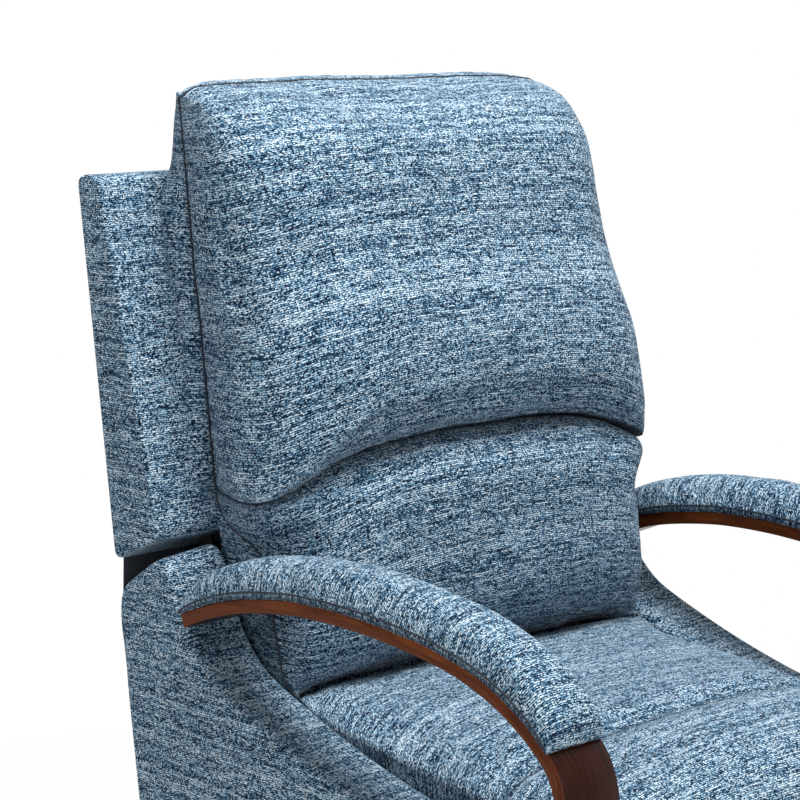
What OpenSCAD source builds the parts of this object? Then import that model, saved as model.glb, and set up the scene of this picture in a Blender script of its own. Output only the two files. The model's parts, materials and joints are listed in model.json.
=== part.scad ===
/* [Overall] */
// Clear width between the two side panels
seat_gap_w = 542; // [480:2:640]
// Thickness of an upholstered side panel
side_t = 79; // [60:1:95]
// Depth of a side panel, from its rear edge to its front edge
side_depth = 654; // [620:2:700]
// Height of the side panel's highest point, the horn behind the arm
side_top = 592; // [570:1:620]
// Height of the side panels' lower edge above the floor
side_bottom = 70; // [66:1:80]
// Radius of the rounded edges of a side panel
side_round = 11; // [6:1:16]

/* [Arms] */
// Width of the bent wooden arm
arm_w = 70; // [56:1:80]
// Thickness of the bent wooden arm
arm_t = 15; // [12:0.5:20]
// How far the arm stands out past the side panel
arm_overhang = 7; // [3:1:12]
// Height of the arm's underside at its crest
arm_crest = 576; // [560:1:590]
// Height of the arm's lower end above the floor
arm_foot = 84; // [76:1:140]
// Thickness of the arm pad at its crown
pad_t = 35; // [25:1:45]
// How far the pad stands out past the wood at each edge
pad_lip = 3; // [1:0.5:5]

/* [Back] */
// Height of the top edge of the upholstered back frame
back_frame_top = 992; // [940:2:1040]
// Height of the front lower edge of the back frame
back_frame_low = 632; // [628:1:640]
// Overhang of the back frame's top edge behind the side panels
back_lean = 72; // [60:1:90]
// Depth of the back frame at its lower end
back_frame_low_t = 76; // [66:1:84]
// Thickness of the back frame at its top end
back_frame_top_t = 40; // [30:1:50]
// Width of an upholstered upright of the back frame
back_stile_w = 88; // [70:1:100]
// Height of the top of the head pillow
head_top = 1088; // [1040:2:1140]
// Height of the crease between the pillows at the middle
crease_mid = 708; // [680:2:730]
// Height of the crease between the pillows at the sides
crease_side = 656; // [640:2:680]
// How far the head pillow bulges in front of its seam
head_bulge = 172; // [120:1:185]
// How far the back can recline
recline_deg = 34; // [20:1:36]

/* [Seat] */
// Height of the seat at its crown
seat_top = 458; // [446:1:480]
// Front end of the seat cushion, in front of the side panels' rear edge
seat_front = 676; // [660:1:690]
// Rear end of the seat cushion
seat_rear = 156; // [152:1:180]
// Height of the underside of the seat cushion
seat_under = 375; // [370:1:384]
// Distance of the sewn channel from the side panels' rear edge
channel_y = 492; // [460:2:540]
// Depth of the sewn channel
channel_depth = 9; // [4:1:16]
// Gap between the seat cushion and a side panel
seat_gap = 4; // [2:0.5:8]

/* [Footrest] */
// Length of a pantograph bar between its end pivots
bar_l = 210; // [190:1:230]
// Width of a pantograph bar
bar_w = 18; // [14:0.5:19]
// Angle of the folded bars to the pantograph's centre line
fold_deg = 84; // [80:0.5:84]
// Angle of the opened bars to the pantograph's centre line
open_deg = 6; // [6:0.5:20]
// Rise of the pantograph's centre line towards the front
rise_deg = 12; // [8:0.5:14]
// Height of the footrest's lower edge when folded
foot_low = 90; // [84:1:120]
// Gap between the footrest's upper edge when folded and the seat cushion
foot_top_gap = 30; // [28:1:40]
// Gap between the footrest board and a side panel
foot_side_gap = 9; // [6:0.5:14]
// Thickness of the footrest board
board_t = 15; // [10:1:20]
// Thickness of the footrest pad at its crown
foot_pad_t = 56; // [40:1:60]
// Front of the folded footrest pad, in front of the side panels' rear edge
foot_front = 684; // [680:1:700]

/* [Rocker] */
// Height of the base rails' top
rail_top = 60; // [50:1:64]
// Width of a base rail
rail_w = 34; // [26:1:44]
// Distance of a base rail from the middle of the chair
rail_x = 190; // [150:1:200]
// Rear end of the base rails, in front of the side panels' rear edge
base_rear = 40; // [30:2:60]
// Front end of the base rails
base_front = 570; // [540:2:580]
// Height of the floor glides
glide_h = 12; // [6:1:16]
// Distance of the rocking centre from the side panels' rear edge
rock_y = 318; // [290:1:350]
// Height of the rocking centre above the rails
rock_h = 110; // [80:1:140]
// Largest angle of rocking each way
rock_deg = 7; // [4:0.5:7]
// Radius of a rocker cam's outer stretches
cam_flank_r = 420; // [300:5:600]
// Thickness of a rocker cam
cam_t = 22; // [16:1:28]

/* [Lever] */
// Length of the lever from its shaft to its tip
lever_l = 165; // [120:1:190]
// Thickness of the lever
lever_t = 18; // [12:1:24]
// Width of the lever's grip
lever_w = 34; // [24:1:44]

/* [Hidden] */
// Every sub-part, one node each

$fn = 40;
// Overrun of cuts past the faces that they open
over = 1;
// Gap between faces of pieces that rest on each other or pass close by
seat_clear = 0.3;
// Radial clearance of a rivet in its hole
pin_clear = 0.08;

// Half of the clear width between the side panels
gap_half = seat_gap_w / 2;
// Outer face of a side panel
side_out = gap_half + side_t;
// Outer edge of an arm
arm_out = side_out + arm_overhang;
// Outer edge of an arm pad
pad_out = arm_out + pad_lip;
// Distance of the lever from the side panel
lever_stand = 12;
// Outer face of the lever
lever_out = side_out + lever_stand + lever_t;

// Height of the folded footrest's upper edge, and the footrest's width
foot_high = seat_under - foot_top_gap;
foot_w = seat_gap_w - 2 * foot_side_gap;

// Places of the chair's middle, so that the origin lies under the middle of the whole chair
shift_x = (lever_out - pad_out) / 2;
shift_y = (foot_front - back_lean) / 2;

// Steel sheet of the mechanism and the gap between two neighbouring links
sheet_t = 3;
link_gap = 0.5;
// Inner face of the mechanism's plane number k, counted from a side panel inwards
function plane_x(k) = gap_half - k * (sheet_t + link_gap) - sheet_t;
plate_k = 0;
swing_k = 1;
rail_k = 2;
lift_k = 3;
cross_k = 4;
drive_k = 5;

// Radius of the mechanism's rivets and of their heads
rivet_r = 4;
head_r = 7;
// Thickness of a rivet's head
head_t = 2;

// Flat wooden seat frame
seat_frame_gap = 0.3;
seat_frame_t = 24;
seat_frame_high = seat_under - seat_frame_gap;
seat_frame_low = seat_frame_high - seat_frame_t;
seat_frame_inset = 23;
seat_frame_half = gap_half - seat_frame_inset;
seat_frame_front = 590;
seat_frame_rear = 96;
seat_frame_w = 46;
// Seat rail: upper and lower edge, front and rear end
seat_rail_drop = 4;
seat_rail_h = 62;
seat_rail_high = seat_frame_low - seat_rail_drop;
seat_rail_low = seat_rail_high - seat_rail_h;
seat_rail_rear = 92;
seat_rail_front = 524;

// Swing links: length, lean at rest, and the places of their upper pivots on the seat rail
swing_l = 88;
swing_lean = 26;
swing_w = 22;
swing_inset = 21;
swing_top_z = seat_rail_low + swing_inset;
swing_rear_y = 112;
swing_front_y = 470;
swing_step = [swing_l * sin(swing_lean), swing_l * cos(swing_lean)];
// Travel of the seat when the swing links stand upright
seat_travel = [-swing_step[0], swing_l - swing_step[1]];

// Pivot of the pantograph on the seat rail
foot_pivot_y = 505;
foot_pivot_inset = 11;
foot_pivot = [-foot_pivot_y, seat_rail_high - foot_pivot_inset];
// Unit vectors along the pantograph's centre line and square to it, downwards
axis_u = [-cos(rise_deg), sin(rise_deg)];
down_u = [-sin(rise_deg), -cos(rise_deg)];
// Direction of the falling bars and of the rising bars
fall_u = cos(fold_deg) * axis_u + sin(fold_deg) * down_u;
rise_u = cos(fold_deg) * axis_u - sin(fold_deg) * down_u;
// Pivots of the folded pantograph
lift_end = foot_pivot + bar_l * fall_u;
cross_mid = foot_pivot + bar_l / 2 * fall_u;
cross_foot = cross_mid - bar_l / 2 * rise_u;
cross_end = cross_mid + bar_l / 2 * rise_u;
short_end = lift_end + bar_l / 2 * rise_u;
// Roller at the cross bar's foot and the play in its slot
roller_r = 6;
slot_play = 0.4;
slot_high = foot_pivot + bar_l * sin(open_deg) * down_u;
slot_low = foot_pivot + bar_l * sin(fold_deg) * down_u;
// Half the width of the seat rail's slotted leg
leg_half = 15;
// Rear plane of the footrest board when folded
board_back = foot_front - foot_pad_t - board_t;
// Tube that ties the two seat rails together behind the pantograph
cross_tube_r = 9;
cross_tube_wall = 2;
cross_tube_y = 455;
cross_tube_inset = 13;
cross_tube_at = [-cross_tube_y, seat_rail_high - cross_tube_inset];

// Torque tube of the lever and its crank, which turns along with the lift bars
tube_y = 395;
tube_inset = 16;
tube_r = 9;
tube_wall = 2;
crank_l = 36;
crank_w = 17;
crank_pin_r = 3.5;
torque_at = [-tube_y, seat_rail_low + tube_inset];
bush_t = 4;
// Slot of the side panel round the lever's shaft
shaft_slot_r = 13;
bezel_t = 3;
bezel_w = 9;

// Hinge of the back on the seat rail
hinge_y = 100;
hinge_rise = 84;
hinge_at = [-hinge_y, seat_rail_high + hinge_rise];
hinge_r = 6;

// Wooden cross rails between the side panels, which stand on the rocker cams
cross_rail_low = 150;
cross_rail_h = 42;
cross_rail_t = 32;
front_rail_y = 412;
rear_rail_y = 112;
cam_high = cross_rail_low;

// Rocking centre
rock_at = [-rock_y, rail_top + rock_h];

// Smooth curve through control points
function curve_at(a, b, c, d, t) =
  ((2 * b) + (c - a) * t + (2 * a - 5 * b + 4 * c - d) * t * t + (3 * b - a - 3 * c + d) * t * t * t) / 2;
function smooth_open(p, n) = let (m = len(p))
  [for (i = [0:m - 2]) for (k = [0:n - 1])
    curve_at(p[max(i - 1, 0)], p[i], p[i + 1], p[min(i + 2, m - 1)], k / n), p[m - 1]];
function smooth_closed(p, n) = let (m = len(p))
  [for (i = [0:m - 1]) for (k = [0:n - 1])
    curve_at(p[(i + m - 1) % m], p[i], p[(i + 1) % m], p[(i + 2) % m], k / n)];

function unit(v) = v / norm(v);
function left_of(v) = [-v[1], v[0]];
// Outward normal at each point of a closed outline that runs anticlockwise
function closed_normal(p, i) = let (m = len(p), t = unit(p[(i + 1) % m] - p[(i + m - 1) % m])) [t[1], -t[0]];
function drawn_in(p, d) = [for (i = [0:len(p) - 1]) p[i] - d * closed_normal(p, i)];
function open_tangent(p, i) = unit(p[min(i + 1, len(p) - 1)] - p[max(i - 1, 0)]);
function beside(p, d) = [for (i = [0:len(p) - 1]) p[i] + d * left_of(open_tangent(p, i))];
function backwards(p) = [for (i = [len(p) - 1:-1:0]) p[i]];
// Share of the width at step i of n, with short steps near both sides
function across(i, n) = (1 - cos(180 * i / n)) / 2;
// Place on a squarish half round, from one end to the other as a goes from 0 to 180, with p the squareness
function belly_x(a, p) = -sign(cos(a)) * pow(abs(cos(a)), 2 / p);
function belly_y(a, p) = pow(max(0, sin(a)), 2 / p);
// Share of full width along a rounded side, with p the squareness
function bulge(t, p) = pow(max(0, 1 - pow(abs(2 * t - 1), p)), 1 / p);

// Closed skin over a stack of equal rings, with a middle point closing each end
module skin(rings, first, last) {
  n = len(rings[0]);
  m = len(rings);
  pts = concat([for (r = rings) for (q = r) q], [first, last]);
  sides = [for (i = [0:m - 2]) for (k = [0:n - 1])
    let (a = i * n + k, b = i * n + (k + 1) % n, c = (i + 1) * n + k, d = (i + 1) * n + (k + 1) % n)
    each [[a, b, c], [b, d, c]]];
  caps = [for (k = [0:n - 1]) let (e = (m - 1) * n, j = (k + 1) % n)
    each [[m * n, j, k], [m * n + 1, e + k, e + j]]];
  polyhedron(points = pts, faces = concat(sides, caps), convexity = 8);
}

// Closed skin over a front grid and a rear grid of equal size
module pillow(front, rear) {
  nu = len(front) - 1;
  nv = len(front[0]) - 1;
  w = nv + 1;
  half = (nu + 1) * w;
  pts = concat([for (r = front) for (q = r) q], [for (r = rear) for (q = r) q]);
  f = [for (i = [0:nu - 1]) for (k = [0:nv - 1]) let (a = i * w + k, b = a + w, c = half + a, d = half + b)
    each [[a, b, a + 1], [b, b + 1, a + 1], [c, c + 1, d], [d, c + 1, d + 1]]];
  ends = [for (i = [0:nu - 1]) let (a = i * w, b = a + w, c = i * w + nv, d = c + w)
    each [[a, half + a, b], [b, half + a, half + b], [c, d, half + c], [d, half + d, half + c]]];
  sides = [for (k = [0:nv - 1]) let (a = k, b = nu * w + k, c = half + a, d = half + b)
    each [[a, a + 1, c], [a + 1, c + 1, c], [b, d, b + 1], [b + 1, d, d + 1]]];
  polyhedron(points = pts, faces = concat(f, ends, sides), convexity = 8);
}

// Flat piece in a plane square to X, drawn in the y-z plane
module plate(x, t) translate([x, 0, 0]) rotate([90, 0, 90]) linear_extrude(t) children();
// Round bar along X through a point of the y-z plane
module rod(at, x, l, r) translate([x, at[0], at[1]]) rotate([0, 90, 0]) cylinder(h = l, r = r);
module both_sides() {
  children();
  mirror([1, 0, 0]) children();
}
// Width of a bar between its round ends, as a share of their diameter
bar_waist_share = 0.98;
// Flat bar with round ends, straight or bent at the points between them
module bar(points, w) {
  for (p = points) translate(p) circle(d = w);
  for (i = [1:len(points) - 1]) let (a = points[i - 1], d = points[i] - a, t = w * bar_waist_share)
    translate(a) rotate(atan2(d[1], d[0])) translate([0, -t / 2]) square([norm(d), t]);
}
// Hole through plane number k
module hole(at, k, r) rod(at, plane_x(k) - over, sheet_t + 2 * over, r);
// Rivet that stands on a link's inner face and passes through the next plane inwards
module rivet(at, k, r) {
  rod(at, plane_x(k + 1) - link_gap, sheet_t + 2 * link_gap, r);
  rod(at, plane_x(k + 1) - link_gap - head_t, head_t, head_r);
}
// Short rivet that reaches through plane number k from the plane outside it
module pivot_stub(at, k) rod(at, plane_x(k) - link_gap / 2, sheet_t + link_gap / 2 + link_gap, rivet_r);

// Base
module base_rails() color("saddlebrown") both_sides()
  translate([rail_x - rail_w / 2, -base_front, glide_h])
    cube([rail_w, base_front - base_rear, rail_top - glide_h]);

base_cross_w = 60;
base_cross_h = 24;
base_cross_inset = 40;
base_cross_reach = base_cross_inset + base_cross_w / 2;
base_cross_ys = [base_rear + base_cross_reach, base_front - base_cross_reach];
module base_cross_rails() color("saddlebrown")
  for (y = base_cross_ys)
    translate([-rail_x + rail_w / 2, -y - base_cross_w / 2, glide_h])
      cube([2 * rail_x - rail_w, base_cross_w, base_cross_h]);

glide_r = 15;
glide_inset = 26;
glide_foot_share = 0.8;
module floor_glides() color("black") both_sides()
  for (y = [base_rear + glide_inset, base_front - glide_inset])
    translate([rail_x, -y, 0]) {
      cylinder(h = glide_h / 2, r1 = glide_r * glide_foot_share, r2 = glide_r);
      translate([0, 0, glide_h / 2]) cylinder(h = glide_h / 2, r = glide_r);
    }

spring_r = 17;
spring_wire = 5;
spring_turns = 5;
spring_pitch_y = 56;
spring_plate_t = 4;
spring_plate_l = 120;
spring_plate_w = 52;
spring_x = rail_x - rail_w / 2 - spring_plate_w / 2;
spring_plate_drop = 14;
spring_base_z = rail_top - spring_plate_drop;
spring_top_z = cam_high - spring_plate_t;
fold_low = glide_h + base_cross_h / 2;
// Lower spring plate, folded down the inner face of the base rail
module spring_base_plates() color("dimgray") both_sides() {
  translate([spring_x - spring_plate_w / 2, -rock_y - spring_plate_l / 2, spring_base_z - spring_plate_t])
    cube([spring_plate_w, spring_plate_l, spring_plate_t]);
  translate([spring_x + spring_plate_w / 2 - spring_plate_t, -rock_y - spring_plate_l / 2, fold_low])
    cube([spring_plate_t, spring_plate_l, spring_base_z - fold_low]);
}

spring_rings = 10;
spring_sides = 6;
// Point of a coil spring's wire at a share of its length
function coil_at(t, h) = let (a = 360 * spring_turns * t) [spring_r * cos(a), spring_r * sin(a), h * t];
function coil_ring(t, h) = let (a = 360 * spring_turns * t, q = coil_at(t, h), r = spring_wire / 2)
  [for (s = [0:spring_sides - 1]) let (b = 360 * s / spring_sides)
    q + [r * cos(b) * cos(a), r * cos(b) * sin(a), r * sin(b)]];
coil_h = spring_top_z - spring_base_z - spring_wire - 2 * seat_clear;
coil_gap = coil_h / spring_turns - spring_wire;
echo(least_gap_between_coils = coil_gap);
module rocker_springs() color("silver") both_sides() for (s = [-1, 1])
  translate([spring_x, -rock_y + s * spring_pitch_y / 2, spring_base_z + spring_wire / 2 + seat_clear]) {
    n = spring_turns * spring_rings;
    skin([for (i = [0:n]) backwards(coil_ring(i / n, coil_h))], coil_at(0, coil_h), coil_at(1, coil_h));
  }

base_bolt_r = 5;
base_bolt_h = 5;
module base_bolts() color("silver") both_sides()
  for (y = base_cross_ys)
    translate([rail_x + rail_w / 2, -y, glide_h + base_cross_h / 2])
      rotate([0, 90, 0]) cylinder(h = base_bolt_h, r = base_bolt_r);

// Side panel outline from its front top over the horn and down: shares of its depth and of its height
side_edge_shares = [
  [0.999, 0.565], [0.992, 0.605], [0.970, 0.628], [0.930, 0.637],
  [0.800, 0.645], [0.670, 0.661], [0.567, 0.683], [0.480, 0.707], [0.396, 0.735], [0.297, 0.774],
  [0.232, 0.806], [0.190, 0.846], [0.163, 0.888], [0.150, 0.925], [0.139, 0.957], [0.124, 0.984],
  [0.104, 0.999], [0.082, 0.991], [0.043, 0.963], [0.004, 0.926], [-0.009, 0.895], [-0.011, 0.845],
  [0.000, 0.740], [0.027, 0.537], [0.060, 0.250]];
side_corner = 20;
side_foot_share = 0.078;
side_foot = [-side_depth * side_foot_share, side_bottom];
side_steps = 2;
side_edge = smooth_open([for (s = side_edge_shares) [-s[0] * side_depth, s[1] * side_top]], side_steps);
side_toe = [-side_depth, side_bottom];
side_outline = concat(side_edge, corner(side_edge[len(side_edge) - 1], side_foot, side_toe, side_corner),
  corner(side_foot, side_toe, side_edge[0], side_corner));
// A place inside the outline from which all of it can be seen
side_eye_shares = [0.08, 0.5];
side_eye = [-side_depth * side_eye_shares[0], side_top * side_eye_shares[1]];
side_arc_steps = 3;
// The outline drawn in along a quarter circle towards the outer face
function side_ring(a) = [for (c = drawn_in(backwards(side_outline), side_round * (1 - cos(a))))
  [side_out - side_round * (1 - sin(a)), c[0], c[1]]];
module side_body() {
  skin(concat([[for (c = backwards(side_outline)) [gap_half, c[0], c[1]]]],
    [for (i = [0:side_arc_steps]) side_ring(90 * i / side_arc_steps)]),
    [gap_half, side_eye[0], side_eye[1]], [side_out, side_eye[0], side_eye[1]]);
}
// Slot that the lever's shaft travels in when the seat moves
module shaft_slot(r) bar([torque_at, torque_at + seat_travel], 2 * r);
module side_panel_left() color("steelblue") side_body();
module side_panel_right() color("steelblue") mirror([1, 0, 0]) difference() {
  side_body();
  plate(gap_half - over, side_t + 2 * over) shaft_slot(shaft_slot_r);
}
module lever_bezel() color("black") mirror([1, 0, 0])
  plate(side_out, bezel_t) difference() {
    shaft_slot(shaft_slot_r + bezel_w);
    shaft_slot(shaft_slot_r);
  }

// Inner line of the bent arm: shares of its depth, forwards, and of its crest's height
arm_straight_share = 0.6;
arm_line_shares = [
  [0.176, 0.919], [0.240, 0.948], [0.317, 0.974], [0.411, 0.992], [0.486, 0.999], [0.584, 0.999],
  [0.679, 0.991], [0.748, 0.981], [0.807, 0.967], [0.873, 0.940], [0.920, 0.911], [0.957, 0.880],
  [0.981, 0.851], [0.993, 0.818], [0.9995, 0.774], [1.0004, 0.720]];
arm_line = concat([for (s = arm_line_shares) [-s[0] * side_depth, s[1] * arm_crest]],
  [[-side_depth - seat_clear, arm_crest * arm_straight_share], [-side_depth - seat_clear, arm_foot]]);
arm_steps = 3;
arm_curve = smooth_open(arm_line, arm_steps);
module arm_body() plate(arm_out - arm_w, arm_w)
  polygon(concat(arm_curve, backwards(beside(arm_curve, -arm_t))));
module arm_wood_left() color("saddlebrown") arm_body();
module arm_wood_right() color("saddlebrown") mirror([1, 0, 0]) arm_body();

// Arm pad: a crowned strip along the arm's outer face
pad_half = arm_w / 2 + pad_lip;
pad_mid_x = arm_out - arm_w / 2;
pad_last = (len(arm_line_shares) - 4) * arm_steps;
pad_ring_n = 14;
pad_base = [for (i = [0:pad_last]) arm_curve[i]];
pad_end_share = 0.2;
// Height of the pad over the wood, falling to a rounded end at each end
function pad_rise(t) = pad_t * max(pad_end_share, sqrt(max(0, 1 - pow(abs(2 * t - 1), 9))));
// Point of the pad at an angle round its section, over a place of the arm with an outward normal
function pad_point(q, o, h, a) =
  let (x = -cos(a), d = arm_t + seat_clear + h * pow(sin(a), 0.62))
  [pad_mid_x + pad_half * sign(x) * pow(abs(x), 0.7), q[0] + d * o[0], q[1] + d * o[1]];
function pad_ring(i) =
  let (h = pad_rise(i / (len(pad_base) - 1)), o = -left_of(open_tangent(arm_curve, i)))
  [for (s = [0:pad_ring_n]) pad_point(pad_base[i], o, h, 180 * s / pad_ring_n)];
module pad_body() {
  n = len(pad_base) - 1;
  rings = [for (i = [0:n]) backwards(pad_ring(i))];
  function mid(r) = [pad_mid_x, (r[0][1] + r[pad_ring_n / 2][1]) / 2, (r[0][2] + r[pad_ring_n / 2][2]) / 2];
  skin(rings, mid(rings[0]), mid(rings[n]));
}
module arm_pad_left() color("steelblue") pad_body();
module arm_pad_right() color("steelblue") mirror([1, 0, 0]) pad_body();

// Bolts that hold each arm to the front edge of its side panel
arm_bolt_r = 8;
arm_bolt_t = 4;
arm_bolt_shares = [0.24, 0.5];
arm_bolt_crown_share = 0.7;
module arm_bolts() color("dimgray") both_sides() for (s = arm_bolt_shares)
  translate([pad_mid_x, -side_depth - seat_clear - arm_t, s * side_top]) rotate([90, 0, 0])
    cylinder(h = arm_bolt_t, r1 = arm_bolt_r, r2 = arm_bolt_r * arm_bolt_crown_share);

// Cross rails between the side panels
module cross_rail(y) translate([-gap_half, -y - cross_rail_t, cross_rail_low])
  cube([seat_gap_w, cross_rail_t, cross_rail_h]);
// Upholstered panel that closes the back of the chair below the reclining back
apron_t = 18;
apron_inset = 8;
apron_low = 100;
apron_high = 430;
side_waist_share = 0.74;
side_waist = [0, side_waist_share * side_top];
function side_rear_y(z) = line_y(side_waist, side_foot, z) - apron_inset;
module rear_apron() color("steelblue") plate(-gap_half, seat_gap_w) polygon([
  [side_rear_y(apron_low), apron_low], [side_rear_y(apron_high), apron_high],
  [side_rear_y(apron_high) - apron_t, apron_high], [side_rear_y(apron_low) - apron_t, apron_low]]);
module front_cross_rail() color("burlywood") cross_rail(front_rail_y);
module rear_cross_rail() color("burlywood") cross_rail(rear_rail_y);

// Rocker cam: a short arc about the rocking centre and flatter arcs that meet it at the rocking limits
cam_r = rock_h - seat_clear;
cam_rear = 96;
cam_front = 508;
cam_facets = 120;
module flank(s)
  translate(rock_at + (cam_flank_r - cam_r) * [s * sin(rock_deg), cos(rock_deg)])
  circle(r = cam_flank_r, $fn = cam_facets);
module cam_outline() difference() {
  intersection() {
    flank(1);
    flank(-1);
    translate([-cam_front, 0]) square([cam_front - cam_rear, cam_high]);
  }
  difference() {
    translate([rock_at[0] - cam_r * sin(rock_deg), 0])
      square([2 * cam_r * sin(rock_deg), rail_top + rock_h / 2]);
    translate(rock_at) circle(r = cam_r, $fn = cam_facets);
  }
}
module rocker_cams() color("burlywood") both_sides() plate(rail_x - cam_t / 2, cam_t) cam_outline();

module spring_top_plates() color("dimgray") both_sides() {
  translate([spring_x - spring_plate_w / 2, -rock_y - spring_plate_l / 2, spring_top_z])
    cube([rail_x - cam_t / 2 - spring_x + spring_plate_w / 2, spring_plate_l, spring_plate_t]);
}

// Mechanism plates on the inner faces of the side panels, with the lower pivots of the swing links
mech_plate_h = 60;
mech_plate_low = swing_top_z - swing_step[1] - mech_plate_h / 2;
mech_plate_rear = 120;
mech_plate_front = 540;
swing_rear_top = [-swing_rear_y, swing_top_z];
swing_front_top = [-swing_front_y, swing_top_z];
module mechanism_plates() color("dimgray") both_sides() {
  plate(plane_x(plate_k), sheet_t)
    translate([-mech_plate_front, mech_plate_low]) square([mech_plate_front - mech_plate_rear, mech_plate_h]);
  for (p = [swing_rear_top, swing_front_top]) pivot_stub(p - swing_step, swing_k);
}

// Swing links that carry the seat
module swing_link(top) {
  difference() {
    plate(plane_x(swing_k), sheet_t) bar([top - swing_step, top], swing_w);
    hole(top - swing_step, swing_k, rivet_r + pin_clear);
  }
  pivot_stub(top, rail_k);
}
module rear_swing_links() color("gray") both_sides() swing_link(swing_rear_top);
module front_swing_links() color("gray") both_sides() swing_link(swing_front_top);

// Steel seat rail: a long web, a slotted leg for the pantograph and an ear for the back's hinge
hinge_ear_w = 30;
module rail_outline() difference() {
  union() {
    translate([-seat_rail_front, seat_rail_low])
      square([seat_rail_front - seat_rail_rear, seat_rail_high - seat_rail_low]);
    bar([foot_pivot, slot_low], 2 * leg_half);
    bar([[hinge_at[0], seat_rail_high - hinge_ear_w / 2], hinge_at], hinge_ear_w);
  }
  bar([slot_high, slot_low], 2 * (roller_r + slot_play));
}
module seat_rails() color("gray") both_sides() {
  difference() {
    plate(plane_x(rail_k), sheet_t) rail_outline();
    for (p = [swing_rear_top, swing_front_top]) hole(p, rail_k, rivet_r + pin_clear);
    hole(torque_at, rail_k, tube_r + bush_t);
  }
  rod(foot_pivot, plane_x(lift_k) - link_gap, sheet_t + 2 * link_gap, rivet_r);
  rod(hinge_at, plane_x(lift_k) - link_gap, sheet_t + 2 * link_gap, hinge_r);
  rod(hinge_at, plane_x(lift_k) - link_gap - head_t, head_t, hinge_r + head_t);
}

module seat_cross_tube() color("gray") difference() {
  rod(cross_tube_at, -plane_x(rail_k), 2 * plane_x(rail_k), cross_tube_r);
  rod(cross_tube_at, -plane_x(rail_k) - over, 2 * (plane_x(rail_k) + over), cross_tube_r - cross_tube_wall);
}

spacer_r = 9;
spacer_ys = [150, 290, 430];
tab_w = 26;
// Steel tabs that stand on the seat rail's upper edge and carry the wooden frame
module rail_spacers() color("gray") both_sides() for (y = spacer_ys)
  translate([seat_frame_half, -y - tab_w / 2, seat_rail_high]) {
    cube([plane_x(rail_k) + sheet_t - seat_frame_half, tab_w, sheet_t]);
    cube([sheet_t, tab_w, seat_frame_high - seat_rail_high]);
  }

module tube_bushings() color("black") both_sides() difference() {
  rod(torque_at, plane_x(rail_k), sheet_t, tube_r + bush_t);
  hole(torque_at, rail_k, tube_r + pin_clear);
}

// Flat wooden frame under the seat
module seat_frame() color("burlywood") difference() {
  translate([-seat_frame_half, -seat_frame_front, seat_frame_low])
    cube([2 * seat_frame_half, seat_frame_front - seat_frame_rear, seat_frame_high - seat_frame_low]);
  translate([-seat_frame_half + seat_frame_w, -seat_frame_front + seat_frame_w, seat_frame_low - over])
    cube([2 * (seat_frame_half - seat_frame_w), seat_frame_front - seat_frame_rear - 2 * seat_frame_w,
      seat_frame_high - seat_frame_low + 2 * over]);
}

// Zigzag spring: one wire that runs to and fro, from one rail of its frame to the other
zig_wire = 4;
zig_half = 18;
zig_pitch = 52;
zig_count = 4;
zig_sides = 5;
function zig_path(l) = let (n = floor(l / zig_pitch), p = l / n) concat([[-zig_half, 0]],
  [for (i = [0:n - 1]) for (a = [-90:45:90]) let (s = i % 2 == 0 ? 1 : -1)
    [s * (zig_half + p / 2 * cos(a)), (i + 0.5) * p + p / 2 * sin(a)]],
  [[(n % 2 == 0 ? 1 : -1) * zig_half, l]]);
function wire_ring(q, n) = [for (s = [0:zig_sides - 1]) let (b = -360 * s / zig_sides)
  [q[0] + zig_wire / 2 * cos(b) * n[0], q[1] + zig_wire / 2 * cos(b) * n[1], zig_wire / 2 * sin(b)]];
// Zigzag spring of a given length
module zig_spring(l) {
  p = zig_path(l);
  skin([for (i = [0:len(p) - 1]) wire_ring(p[i], left_of(open_tangent(p, i)))],
    [p[0][0], p[0][1], 0], [p[len(p) - 1][0], p[len(p) - 1][1], 0]);
}
seat_window = seat_frame_front - seat_frame_rear - 2 * seat_frame_w;
module seat_springs() color("silver") for (k = [0:zig_count - 1])
  translate([(k - (zig_count - 1) / 2) * 2 * (seat_frame_half - seat_frame_w) / zig_count,
    -seat_frame_front + seat_frame_w + zig_wire / 2, seat_frame_high - zig_wire / 2])
    zig_spring(seat_window - zig_wire);

// Seat cushion: crowned top, drawn-in sides, a sewn channel across it and a rounded front
seat_half = gap_half - seat_gap;
seat_nu = 20;
seat_rear_rows = 9;
seat_front_drop = 18;
seat_side_drop = 16;
seat_side_tuck = 8;
seat_nose_l = 36;
seat_nose_rise = 19;
seat_front_roll = 60;
seat_roll_share = 0.48;
seat_rear_bow = 48;
seat_rear_drop = 14;
seat_dip_l = 90;
seat_square = 2.6;
function channel(y) = channel_depth * exp(-pow((y - channel_y) / (channel_depth * 1.2), 2));
function seat_back_y(u) = seat_rear + seat_rear_bow * (1 - bulge(u, seat_square));
// Rows of the cushion's grid in front of its rear part: close together along the channel and round the front
channel_half = channel_depth * 2.2;
seat_rows = concat([for (s = [-1:0.5:1]) channel_y + s * channel_half],
  [(channel_y + channel_half + seat_front - seat_front_roll) / 2],
  [for (a = [0:22.5:90]) seat_front - seat_front_roll * (1 - sin(a))]);
function seat_y(u, k) = k >= seat_rear_rows ? seat_rows[k - seat_rear_rows]
  : lerp(seat_back_y(u), seat_rows[0], k / seat_rear_rows);
// Fall of the seat's top along the rounded front and behind it
function seat_roll(y) = let (f = max(0, y - (seat_front - seat_front_roll)) / seat_front_roll)
  (seat_top - seat_under) * seat_roll_share * (1 - sqrt(max(0, 1 - f * f)));
function seat_fall(y) = seat_front_drop * pow(max(0, (y - channel_y) / (seat_front - channel_y)), 2);
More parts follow.
